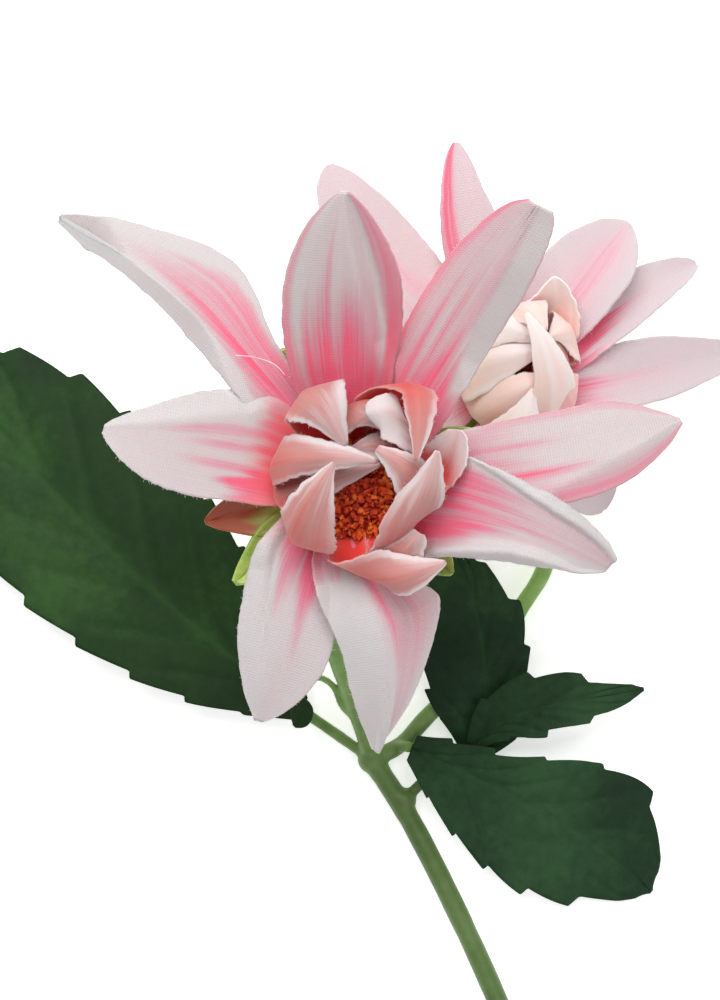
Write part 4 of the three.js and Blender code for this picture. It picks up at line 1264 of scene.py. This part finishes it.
@dataclass
class Bloom:
    """One bloom: where its seat is, the way it faces and its rings of petals."""

    prefix: str
    seat: Point
    axis: Point
    outer: tuple[Blade, ...]
    inner: tuple[Blade, ...]
    bracts: tuple[float, ...]
    seed: int
    grid: tuple[int, int] = (90, 20)
    inner_grid: tuple[int, int] = (60, 14)
    framed_inner: bool = False
    cloth: float = 0.4
    inner_cloth: float = 0.35
    plastic: float = 0.8
    # Radius of each ring's button, and heights of its lower and upper side
    outer_hub: tuple[float, float, float] = (10, -1, 1)
    inner_hub: tuple[float, float, float] = (11.2, 2, 3.3)
    cup_profile: tuple[tuple[float, float], ...] = (
        (0.05, -10),
        (3.2, -10),
        (4.2, -9.4),
        (4.6, -8.8),
        (5.2, -7.4),
        (6.2, -5.6),
        (7.6, -3.8),
        (9, -2.4),
        (9, -1.5),
        (0.05, -1.5))
    cup_ribs: float = 0.12

    def moved(self) -> Matrix:
        """Carries millimetres from the seat to the layout without turning."""
        return Matrix.Translation(Vector(self.seat))

    def framed(self) -> Matrix:
        """Carries the bloom's own frame, whose Z is its axis, to the layout."""
        turn = Vector((0, 0, 1)).rotation_difference(Vector(self.axis))
        return self.moved() @ turn.to_matrix().to_4x4()

    def add_hub(self, sheet: ClothMesh, size: tuple[float, float, float]) -> None:
        """Adds the round button of cloth that the petals of a ring spring from.

        Args:
            sheet: the ring's mesh.
            size: radius, and heights of the button's lower and upper side.
        """
        radius, low, high = size
        profile = [(0.05, low), (radius, low), (radius + 0.2, (low + high) / 2), (radius, high),
                   (0.05, high)]
        sheet.add_turned(profile, np.linspace(0, 2 * math.pi, 49), 0.0, self.framed(),
                         {"dye": 0.7, "coral": 1.0, "edge": 0.0, "face": 1.0})

    def build_outer(self, finish: bpy.types.Material) -> ClothMesh:
        """Makes the ring of outer petals.

        Args:
            finish: the cloth's material.

        Returns:
            The ring's mesh in the making, for its margins.
        """
        sheet = ClothMesh(self.cloth)
        self.add_hub(sheet, self.outer_hub)
        for i, blade in enumerate(self.outer):
            sheet.add(blade, self.moved(), *self.grid, self.seed + i)
        dress(sheet.build(f"{self.prefix}_outer_cloth"), (f"{self.prefix}_outer_petals",),
              finish)
        return sheet

    def build_inner(self, finish: bpy.types.Material) -> ClothMesh:
        """Makes the curled ring round the disc.

        Args:
            finish: the cloth's material.

        Returns:
            The ring's mesh in the making, for its margins.
        """
        sheet = ClothMesh(self.inner_cloth)
        self.add_hub(sheet, self.inner_hub)
        place = self.framed() if self.framed_inner else self.moved()
        for i, blade in enumerate(self.inner):
            sheet.add(blade, place, *self.inner_grid, self.seed + 40 + i, 0.3)
        dress(sheet.build(f"{self.prefix}_inner_cloth"), (f"{self.prefix}_inner_petals",),
              finish)
        return sheet

    def bract(self, angle: float) -> Blade:
        """Shapes one bract.

        Args:
            angle: its turn round the bloom's axis, in degrees.

        Returns:
            The bract as a blade in the bloom's own frame.
        """
        a = math.radians(angle)
        reach = SHORT_BRACT[1] if angle == SHORT_BRACT[0] else 1.0
        line = tuple((reach * r * math.cos(a), reach * r * math.sin(a), z) for r, z in BRACT_LINE)
        stain = Paint((0.45, 0.7), -0.9, (), wash=0.9) if angle == STAINED_BRACT else Paint(depth=0,
                wash=0)
        return Blade(line=line, left=BRACT_HALF, right=BRACT_HALF, fold=(14, 10), cup=(0, 0),
                     ripple=0.2, creases=strokes((0, 0, 0.0, 1.6, 0.12, -0.35)), paint=stain)

    def build_calyx(self, finish: bpy.types.Material) -> None:
        """Makes the moulded cup, with its shallow ribs, and its bracts.

        Args:
            finish: the plastic's material.
        """
        sheet = ClothMesh(self.plastic)
        for i, angle in enumerate(self.bracts):
            sheet.add(self.bract(angle), self.framed(), 28, 8, self.seed + 70 + i, 0.0)
        sheet.add_turned(list(self.cup_profile), np.linspace(0, 2 * math.pi, 97), self.cup_ribs,
                         self.framed(), {"dye": 0.0, "coral": 0.0, "edge": 0.0, "face": 0.0})
        dress(sheet.build(f"{self.prefix}_green_cup"), (f"{self.prefix}_calyx",), finish)


@dataclass
class Disc:
    """The middle of a bloom: a dome of foam covered in crumbs of flock, set out by a node tree."""

    bloom: Bloom
    radius: float = 9.2
    base: float = 3.8
    rise: float = 3.2
    lip: float = 0.6
    rings: int = 10
    corners: int = 48
    crumbs: int = 430
    crumb: float = 0.0016  # length of a crumb, in metres

    def dome(self) -> bpy.types.Object:
        """Makes the foam dome, as a closed mesh in the table's frame.

        Returns:
            The dome as an object.
        """
        turns = np.linspace(0, 2 * math.pi, self.corners + 1)[:-1]
        points = [(0.0, 0.0, self.base + self.rise)]
        for i in range(1, self.rings + 1):
            r = self.radius * i / self.rings
            z = self.base + self.lip + (self.rise - self.lip) * (1 - (i / self.rings) ** 2)
            points += [(r * math.cos(a), r * math.sin(a), z) for a in turns]
        points += [(self.radius * math.cos(a), self.radius * math.sin(a), self.base) for a in turns]
        points.append((0.0, 0.0, self.base))
        faces = []
        for j in range(self.corners):
            k = (j + 1) % self.corners
            faces.append((0, 1 + j, 1 + k))
            for i in range(self.rings):
                a, b = 1 + i * self.corners, 1 + (i + 1) * self.corners
                faces += [(a + j, b + j, b + k), (a + j, b + k, a + k)]
            last = 1 + self.rings * self.corners
            faces.append((len(points) - 1, last + k, last + j))
        grid = carried(np.array(points), self.bloom.framed())
        return mesh_object(f"{self.bloom.prefix}_crumbled_disc", in_frame(grid), np.array(faces))

    def build(self, finish: bpy.types.Material) -> None:
        """Scatters the crumbs and makes one plain mesh.

        Args:
            finish: the flock's material.
        """
        dome = self.dome()
        tree = crumb_tree(finish)
        up = tuple(Vector(self.bloom.axis).normalized())
        run_tree(dome, tree,
                 {"Count": self.crumbs, "Size": self.crumb, "Seed": self.bloom.seed, "Up": up})
        dress(dome, (f"{self.bloom.prefix}_disc",), finish)


def run_tree(piece: bpy.types.Object, tree: bpy.types.NodeTree, values: dict[str, object]) -> None:
    """Runs a node tree on a piece and makes the result plain.

    Args:
        piece: the piece.
        tree: the geometry node tree.
        values: the tree's inputs by their names, set by their sockets' identifiers.
    """
    modifier = piece.modifiers.new(tree.name, "NODES")
    modifier.node_group = tree
    for item in tree.interface.items_tree:
        if item.item_type == "SOCKET" and item.in_out == "INPUT" and item.name in values:
            modifier[item.identifier] = values[item.name]
    plain(piece)


def plain(piece: bpy.types.Object) -> None:
    """Turns a piece with modifiers into a plain mesh and removes the modifiers.

    Args:
        piece: the piece.
    """
    graph = bpy.context.evaluated_depsgraph_get()
    data = bpy.data.meshes.new_from_object(piece.evaluated_get(graph), preserve_all_data_layers=True,
                                           depsgraph=graph)
    piece.modifiers.clear()
    piece.data = data


def new_tree(name: str, sockets: list[tuple[str, str, object]]) -> tuple[bpy.types.NodeTree,
        bpy.types.Node]:
    """Starts a geometry node tree.

    Args:
        name: the tree's name.
        sockets: name, socket type and default of each input after the geometry.

    Returns:
        The tree and its input node.
    """
    tree = bpy.data.node_groups.new(name, "GeometryNodeTree")
    tree.is_modifier = True
    tree.interface.new_socket("Geometry", in_out="INPUT", socket_type="NodeSocketGeometry")
    for label, kind, default in sockets:
        made = tree.interface.new_socket(label, in_out="INPUT", socket_type=kind)
        made.default_value = default
    tree.interface.new_socket("Geometry", in_out="OUTPUT", socket_type="NodeSocketGeometry")
    return tree, add(tree, "NodeGroupInput")


def chance(tree: bpy.types.NodeTree, low: float, high: float, seed: int) -> bpy.types.NodeSocket:
    """A random number for each point, as a socket."""
    return add(tree, "FunctionNodeRandomValue", {2: low, 3: high, "Seed": seed},
               data_type="FLOAT").outputs[1]


def leaning(tree: bpy.types.NodeTree, way: bpy.types.NodeSocket, reach: float,
            seed: int) -> bpy.types.NodeSocket:
    """Turn that aims a chip's or fibre's Z along a way.

    Args:
        tree: the geometry node tree.
        way: the way at each point.
        reach: how far each part of the way wanders at random.
        seed: the draw's seed.

    Returns:
        The turn at each point, as a socket.
    """
    wobble = add(tree, "FunctionNodeRandomValue", {0: (-reach,) * 3, 1: (reach,) * 3, "Seed": seed},
                 data_type="FLOAT_VECTOR").outputs[0]
    bent = add(tree, "ShaderNodeVectorMath", {0: way, 1: wobble}, operation="ADD").outputs[0]
    return add(tree, "FunctionNodeAlignRotationToVector", {"Vector": bent}, axis="Z").outputs[0]


DOME_AREA = 0.00026  # square metres of a disc's upper side


def crumb_tree(finish: bpy.types.Material) -> bpy.types.NodeTree:
    """Scatters small bent chips over a dome, each turned, sized and tinted by a fixed draw.

    Args:
        finish: the flock's material.

    Returns:
        The geometry node tree.
    """
    tree, start = new_tree("flock_crumbs",
                           [("Count", "NodeSocketInt", 600), ("Size", "NodeSocketFloat", 0.001),
                            ("Seed", "NodeSocketInt", 1), ("Up", "NodeSocketVector", (0, 0, 1))])
    count, size, seed, up = (start.outputs[name] for name in ("Count", "Size", "Seed", "Up"))
    normal = add(tree, "GeometryNodeInputNormal").outputs[0]
    lean = add(tree, "ShaderNodeVectorMath", {0: normal, 1: up},
               operation="DOT_PRODUCT").outputs["Value"]
    top = add(tree, "FunctionNodeCompare", {0: lean, 1: 0.2}, data_type="FLOAT",
              operation="GREATER_THAN").outputs[0]
    density = sums(tree, "DIVIDE", count, DOME_AREA)
    spots = add(tree, "GeometryNodeDistributePointsOnFaces", {
        "Mesh": start.outputs[0], "Selection": top, "Density": density, "Seed": seed})
    chip = add(tree, "GeometryNodeMeshIcoSphere", {"Radius": 1.0, "Subdivisions": 1}).outputs[0]
    slim = add(tree, "GeometryNodeTransform", {
        "Geometry": chip, "Scale": (0.5, 0.32, 1.0), "Translation": (0, 0, 0.25)}).outputs[0]
    tinted = add(tree, "GeometryNodeStoreNamedAttribute", {
        "Geometry": spots.outputs[0], "Name": "tint", "Value": chance(tree, 0.0, 1.0, 9)},
        data_type="FLOAT", domain="POINT").outputs[0]
    turned = leaning(tree, spots.outputs["Normal"], 0.6, 5)
    spin = add(tree, "FunctionNodeAxisAngleToRotation",
               {"Axis": (0, 0, 1), "Angle": chance(tree, 0.0, 6.28, 11)})
    spun = add(tree, "FunctionNodeRotateRotation", {"Rotation": turned, "Rotate By": spin.outputs[0]},
               rotation_space="LOCAL").outputs[0]
    placed = add(tree, "GeometryNodeInstanceOnPoints", {
        "Points": tinted, "Instance": slim, "Rotation": spun,
        "Scale": times(tree, chance(tree, 0.55, 1.25, 13), size)}).outputs[0]
    real = add(tree, "GeometryNodeRealizeInstances", {0: placed}).outputs[0]
    joined = add(tree, "GeometryNodeJoinGeometry")
    tree.links.new(real, joined.inputs[0])
    tree.links.new(start.outputs[0], joined.inputs[0])
    skin = add(tree, "GeometryNodeSetMaterial",
               {"Geometry": joined.outputs[0], "Material": finish}).outputs[0]
    add(tree, "NodeGroupOutput", {0: skin})
    return tree


@dataclass
class FrayedThreads:
    """Loose fibres along the cut margins of a bloom's petals, set out by a node tree."""

    name: str
    slot: Slot
    spacing: float = 0.0008
    length: float = 0.0006
    thread: float = 0.09  # radius of a long loose thread, in millimetres

    def build(self, sheets: list[ClothMesh], finish: bpy.types.Material,
              loose: tuple[tuple[Point, ...], ...] = ()) -> None:
        """Makes the fibres of all these sheets as one piece.

        Args:
            sheets: the cloth whose margins fray.
            finish: the fibre's material.
            loose: long loose threads, each a row of points in layout millimetres.
        """
        points, edges, ways = [], [], []
        count = 0
        for sheet in sheets:
            for line, out in sheet.margins:
                n = len(line)
                points.append(in_frame(line))
                ways.append(out)
                edges.append(np.stack([np.arange(n - 1), np.arange(1, n)], -1) + count)
                count += n
        data = bpy.data.meshes.new(self.name)
        data.from_pydata(np.concatenate(points).tolist(), np.concatenate(edges).tolist(), [])
        outward = np.concatenate(ways).astype(np.float32).ravel()
        data.attributes.new("out", "FLOAT_VECTOR", "POINT").data.foreach_set("vector", outward)
        made = linked(self.name, data)
        run_tree(made, fibre_tree(finish), {"Spacing": self.spacing, "Length": self.length})
        if loose:
            join_tubes(made, [Run(self.thread, line) for line in loose], 24, 5)
        dress(made, (), finish)


def fibre_tree(finish: bpy.types.Material) -> bpy.types.NodeTree:
    """Stands short curved fibres along edge lines, pointing out and bent by a fixed draw.

    Args:
        finish: the fibre's material.

    Returns:
        The geometry node tree.
    """
    tree, start = new_tree("frayed_fibres",
                           [("Spacing", "NodeSocketFloat", 0.001),
                            ("Length", "NodeSocketFloat", 0.001)])
    spacing, length = start.outputs["Spacing"], start.outputs["Length"]
    line = add(tree, "GeometryNodeMeshToCurve", {0: start.outputs[0]}).outputs[0]
    spots = add(tree, "GeometryNodeResampleCurve", {"Curve": line, "Length": spacing},
                mode="LENGTH").outputs[0]
    arc = add(tree, "GeometryNodeCurvePrimitiveBezierSegment", {
        "Resolution": 3,
        "Start": (0, 0, -0.35),
        "Start Handle": (0, 0, 0.2),
        "End Handle": (0.1, 0, 0.7),
        "End": (0.3, 0.05, 1.0)}).outputs[0]
    ring = add(tree, "GeometryNodeCurvePrimitiveCircle", {"Resolution": 3, "Radius": 0.055},
               mode="RADIUS").outputs[0]
    fibre = add(tree, "GeometryNodeCurveToMesh", {"Curve": arc, "Profile Curve": ring}).outputs[0]
    out = add(tree, "GeometryNodeInputNamedAttribute", {"Name": "out"},
              data_type="FLOAT_VECTOR").outputs[0]
    turned = leaning(tree, out, 0.55, 3)
    share = plus(tree, sums(tree, "POWER", chance(tree, 0.0, 1.0, 7), 3.0), 0.25)
    full = add(tree, "ShaderNodeCombineXYZ",
               {0: length, 1: length, 2: times(tree, share, length)}).outputs[0]
    placed = add(tree, "GeometryNodeInstanceOnPoints", {
        "Points": spots, "Instance": fibre, "Rotation": turned, "Scale": full}).outputs[0]
    real = add(tree, "GeometryNodeRealizeInstances", {0: placed}).outputs[0]
    skin = add(tree, "GeometryNodeSetMaterial", {"Geometry": real, "Material": finish}).outputs[0]
    add(tree, "NodeGroupOutput", {0: skin})
    return tree


def along(points: tuple[Point, ...], steps: int) -> np.ndarray:
    """Smooth line through given points, with centripetal knots as the solids have.

    Args:
        points: the points that it passes.
        steps: how many steps it is cut into.

    Returns:
        Evenly timed points on the line.
    """
    p = np.array(points, float)
    p = np.vstack([2 * p[0] - p[1], p, 2 * p[-1] - p[-2]])
    rows = []
    spans = len(points) - 1
    for k in range(steps + 1):
        u = k / steps * spans
        i = min(int(u), spans - 1)
        w = u - i
        a, b, c, d = p[i:i + 4]
        t0, t1, t2 = (max(np.linalg.norm(y - x) ** 0.5, 1e-6) for x, y in ((a, b), (b, c), (c, d)))
        m1 = ((b - a) / t0 - (c - a) / (t0 + t1) + (c - b) / t1) * t1
        m2 = ((c - b) / t1 - (d - b) / (t1 + t2) + (d - c) / t2) * t1
        early = (2 * w ** 3 - 3 * w * w + 1) * b + (w ** 3 - 2 * w * w + w) * m1
        rows.append(early + (3 * w * w - 2 * w ** 3) * c + (w ** 3 - w * w) * m2)
    return np.array(rows)


def tube(run: Run, steps: int, sides: int) -> tuple[np.ndarray, list[tuple[int, ...]]]:
    """A closed round tube along a run.

    Args:
        run: the run's radius and points.
        steps: rings along it.
        sides: corners round it.

    Returns:
        Points in millimetres and faces.
    """
    path = along(run.points, steps)
    ways = unit(np.gradient(path, axis=0))
    side = unit(np.cross(ways[0], (0.13, 0.2, 1.0)))
    rows = []
    for k in range(steps + 1):
        side = unit(side - ways[k] * (side @ ways[k]))
        other = np.cross(ways[k], side)
        ends = math.exp(-((k / steps) / 0.06) ** 2) + math.exp(-((1 - k / steps) / 0.05) ** 2)
        radius = run.radius + run.swell * ends
        radius += 0.03 * run.radius * float(wander(np.array(k * 0.4), 5))
        turns = np.linspace(0, 2 * math.pi, sides + 1)[:-1]
        rows.append([path[k] + radius * (side * math.cos(a) + other * math.sin(a)) for a in turns])
    points = np.array(rows).reshape(-1, 3)
    faces = []
    for k in range(steps):
        for j in range(sides):
            m = (j + 1) % sides
            a, b = k * sides, (k + 1) * sides
            faces.append((a + j, a + m, b + m, b + j))
    first, last = len(points), len(points) + 1
    points = np.vstack([points, path[0], path[-1]])
    for j in range(sides):
        m = (j + 1) % sides
        faces.append((first, m, j))
        faces.append((last, steps * sides + j, steps * sides + m))
    return points, faces


def add_tube(shape: bmesh.types.BMesh, run: Run, steps: int, sides: int, soft: bool) -> None:
    """Adds a tube to a mesh in the making.

    Args:
        shape: the mesh, in metres in the table's frame.
        run: the tube's radius and points.
        steps: rings along it.
        sides: corners round it.
        soft: whether it is smooth shaded.
    """
    points, faces = tube(run, steps, sides)
    verts = [shape.verts.new(p) for p in in_frame(points)]
    for row in faces:
        shape.faces.new([verts[i] for i in row]).smooth = soft


def join_tubes(piece: bpy.types.Object, runs: list[Run], steps: int, sides: int) -> None:
    """Joins tubes to a finished piece.

    Args:
        piece: the piece.
        runs: radius and points of each tube.
        steps: rings along each.
        sides: corners round each.
    """
    shape = bmesh.new()
    shape.from_mesh(piece.data)
    for run in runs:
        add_tube(shape, run, steps, sides, True)
    shape.to_mesh(piece.data)
    shape.free()


@dataclass
class Stem:
    """The coated stem, its fork, necks and leaf stalks, melted together by remeshing."""

    voxel: float = 0.00042
    step: float = 1.2  # millimetres between a run's rings

    def build(self, finish: bpy.types.Material) -> None:
        """Makes the stem as one smooth mesh.

        Args:
            finish: the coat's material.
        """
        shape = bmesh.new()
        for run in STEM_RUNS:
            length = float(np.linalg.norm(np.diff(np.array(run.points), axis=0), axis=1).sum())
            add_tube(shape, run, max(12, int(length / self.step)), 20, False)
        for x, y, z, r in KNUCKLES:
            place = Matrix.Translation(Vector(in_frame(np.array([x, y, z]))))
            bmesh.ops.create_icosphere(shape, subdivisions=3, radius=r * MM, matrix=place)
        bmesh.ops.recalc_face_normals(shape, faces=shape.faces)
        data = bpy.data.meshes.new("green_stem")
        shape.to_mesh(data)
        shape.free()
        made = linked("green_stem", data)
        melt = made.modifiers.new("melt", "REMESH")
        melt.mode = "VOXEL"
        melt.voxel_size = self.voxel
        melt.use_smooth_shade = True
        ease = made.modifiers.new("ease", "CORRECTIVE_SMOOTH")
        ease.iterations = 4
        ease.use_only_smooth = True
        plain(made)
        co = np.zeros(len(made.data.vertices) * 3, np.float32)
        made.data.vertices.foreach_get("co", co)
        co[2::3] = np.maximum(co[2::3], TABLE_GAP)
        made.data.vertices.foreach_set("co", co)
        dress(made, ("stem",), finish)


@dataclass
class Foliage:
    """The five toothed leaves."""

    cloth: float = 0.5
    grid: dict[str, tuple[int, int]] = field(default_factory=lambda: {
        "leaf_left_large": (180, 22), "leaf_left_small": (24, 6), "leaf_right_long": (120, 16),
        "leaf_right_narrow": (100, 12), "leaf_right_broad": (120, 16)})
    rib: float = 0.8
    small_rib: float = 0.5
    rib_drop: float = 1.35  # how far the rib's middle lies below the leaf's, in millimetres
    rib_stations: tuple[float, ...] = (0, 0.3, 0.55, 0.8)

    def veins(self, count: int) -> tuple[Stroke, ...]:
        """Lines of a leaf's midrib and of the veins that leave it on both sides.

        Args:
            count: the leaf's teeth. The smallest leaf, with two, has no veins.

        Returns:
            The lines, as strokes of paler dye.
        """
        if count < 3:
            return ()
        starts = np.linspace(0.1, 0.72, 5)
        sides = [(side * 0.02, side * 1.0, t, t + 0.26, 0.035, 0.2) for t in starts for side in (-1, 1)]
        return strokes((0, 0, 0.0, 1.9, 0.05, 0.5), *sides)

    def relief(self, count: int, size: float) -> tuple[Stroke, ...]:
        """Grooves that the mould pressed into a leaf's face along its midrib and its veins.

        Args:
            count: the leaf's teeth.
            size: how deep the groove of the midrib is, as a share.

        Returns:
            The grooves, as strokes with their depth in millimetres.
        """
        sides = tuple(replace(vein, s=(6 * vein.s[0], vein.s[1]), width=0.07, strength=-0.5)
                      for vein in self.veins(count)[1:])
        return strokes((0, 0, 0.0, 2.0, 0.045, -0.5 * size)) + sides

    def build(self, finish: bpy.types.Material, paler: bpy.types.Material) -> None:
        """Makes each leaf as its own piece, with the rib that stiffens its back.

        Args:
            finish: the leaves' material.
            paler: the material of the two on the left, a little lighter and yellower.
        """
        for i, (name, blade) in enumerate(LEAVES.items()):
            small = blade.teeth < 3
            size = 0.3 if small else 1.0
            sheet = ClothMesh(self.cloth)
            pressed = replace(blade, ripple=0.5 * size, creases=self.relief(blade.teeth, size),
                              paint=Paint(depth=0.0, wash=0.0, strokes=self.veins(blade.teeth),
                                          coral=(-1, -0.5)))
            sheet.add(pressed, Matrix.Identity(4), *self.grid[name], 90 + i, 0.0)
            made = sheet.build(name.replace("leaf", "toothed"))
            spine = blade.spine(np.array(self.rib_stations))[0] - (0, 0, self.rib_drop)
            join_tubes(made, [Run(self.small_rib if small else self.rib, tuple(map(tuple, spine)))], 40,
                       10)
            dress(made, (name,), paler if name in PALER_LEAVES else finish)


@dataclass
class Studio:
    """The table, the lights and the camera, in metres and watts."""

    sky: float = 0.3
    key: float = 12.6
    key_place: Point = (-0.12, 0.62, 1.0)
    key_size: float = 0.75
    fill: float = 3.0
    fill_place: Point = (0.5, -0.6, 1.0)
    fill_size: float = 0.9
    aim: Point = (0.0, 0.04, 0.05)
    table: float = 1.6  # half the table's width
    sensor: float = 36.0
    lens: float = 108.0

    def area(self, name: str, place: Point, size: float, power: float) -> None:
        """Adds a square soft light that looks at the blooms.

        Args:
            name: the light's name.
            place: where it is.
            size: its width.
            power: its watts.
        """
        light = bpy.data.lights.new(name, "AREA")
        light.size = size
        light.energy = power
        made = linked(name, light)
        made.location = place
        made.rotation_mode = "QUATERNION"
        made.rotation_quaternion = (Vector(self.aim) - Vector(place)).to_track_quat("-Z", "Y")

    def build(self, finish: bpy.types.Material) -> None:
        """Sets up the studio.

        Args:
            finish: the table's material.
        """
        scene = bpy.context.scene
        world = bpy.data.worlds.new("studio")
        world.use_nodes = True
        tree = world.node_tree
        background = tree.nodes.get("Background") or add(tree, "ShaderNodeBackground")
        background.inputs[0].default_value = (1.0, 1.0, 1.0, 1.0)
        background.inputs[1].default_value = self.sky
        scene.world = world
        scene.view_settings.view_transform = "Standard"
        self.area("key", self.key_place, self.key_size, self.key)
        self.area("fill", self.fill_place, self.fill_size, self.fill)
        corners = np.array([(-1, -1, 0), (1, -1, 0), (1, 1, 0), (-1, 1, 0)]) * self.table
        floor = mesh_object("tabletop", corners, np.array([(0, 1, 2, 3)]))
        floor.data.materials.append(finish)
        lens = bpy.data.cameras.new("eye")
        lens.sensor_width = self.sensor
        lens.lens = self.lens
        lens.clip_start = 0.01
        eye = linked("eye", lens)
        eye.location = in_frame(np.array([0, 0, EYE_HEIGHT]))
        scene.camera = eye


def main() -> None:
    """Builds the studio and the spray, and reports each piece."""
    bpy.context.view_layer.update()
    Studio().build(Tabletop("opal acrylic", 0.9).build())
    petal = DyedCloth("brushed woven polyester", 0.72, 0.25).build()
    # The back bloom's cloths are lighter copies of the front's: painted light for the back bloom, which
    # lies in the front bloom's shade.
    lightened_petal = DyedCloth("woven polyester with painted light, back bloom", 0.72, 0.25, white="D0CACC",
                           blush="DDB9C2", pink="E295A9").build()
    curled = CurlCloth("peach woven polyester", 0.75, 0.2).build()
    lightened_curled = CurlCloth("peach woven polyester with painted light, back bloom", 0.75, 0.2, white="FCF4F4", blush="FDE0D8",
                            pink="FDC4BA", deep="F89CA8", inside="FBAEA8").build()
    flock = FlockedCrumb("dyed flock", 0.95).build()
    cup = SoftPlastic("moulded green polyethylene", 0.5, dark="7E9A3C", light="BACB6C",
                      blotch="9DB552").build()
    coat = SoftPlastic("coated stem wire", 0.45, dark="6B9648", light="A6CB78", blotch="8AB45C",
                       grain=50.0, end_shade=0.36).build()
    leaf = LeafCloth("pressed leaf cloth", 0.68).build()
    pale_leaf = LeafCloth("pressed leaf cloth, paler", 0.68, dark="142913", middle="203C1A",
                          light="335826").build()
    fibre = LooseFibre("raw polyester fibre", 0.6).build()
    front = Bloom("front", (-0.4, 2.6, 66), (0, -0.1, 1), FRONT_OUTER, FRONT_INNER, FRONT_BRACTS, 11)
    back = Bloom("back", (32.4, 24.8, 26), (0.15, 0.1, 1), BACK_OUTER, BACK_INNER, BACK_BRACTS, 211,
                 grid=(60, 14), inner_grid=(36, 10), framed_inner=True)
    for bloom, outer, inner, loose in ((front, petal, curled, (LOOSE_THREAD,)),
                                       (back, lightened_petal, lightened_curled, ())):
        sheets = [bloom.build_outer(outer), bloom.build_inner(inner)]
        bloom.build_calyx(cup)
        Disc(bloom).build(flock)
        FrayedThreads(f"{bloom.prefix}_frayed_threads", Slot.OUTER).build(sheets, fibre, loose)
    Stem().build(coat)
    Foliage().build(leaf, pale_leaf)


if __name__ == "__main__":
    main()
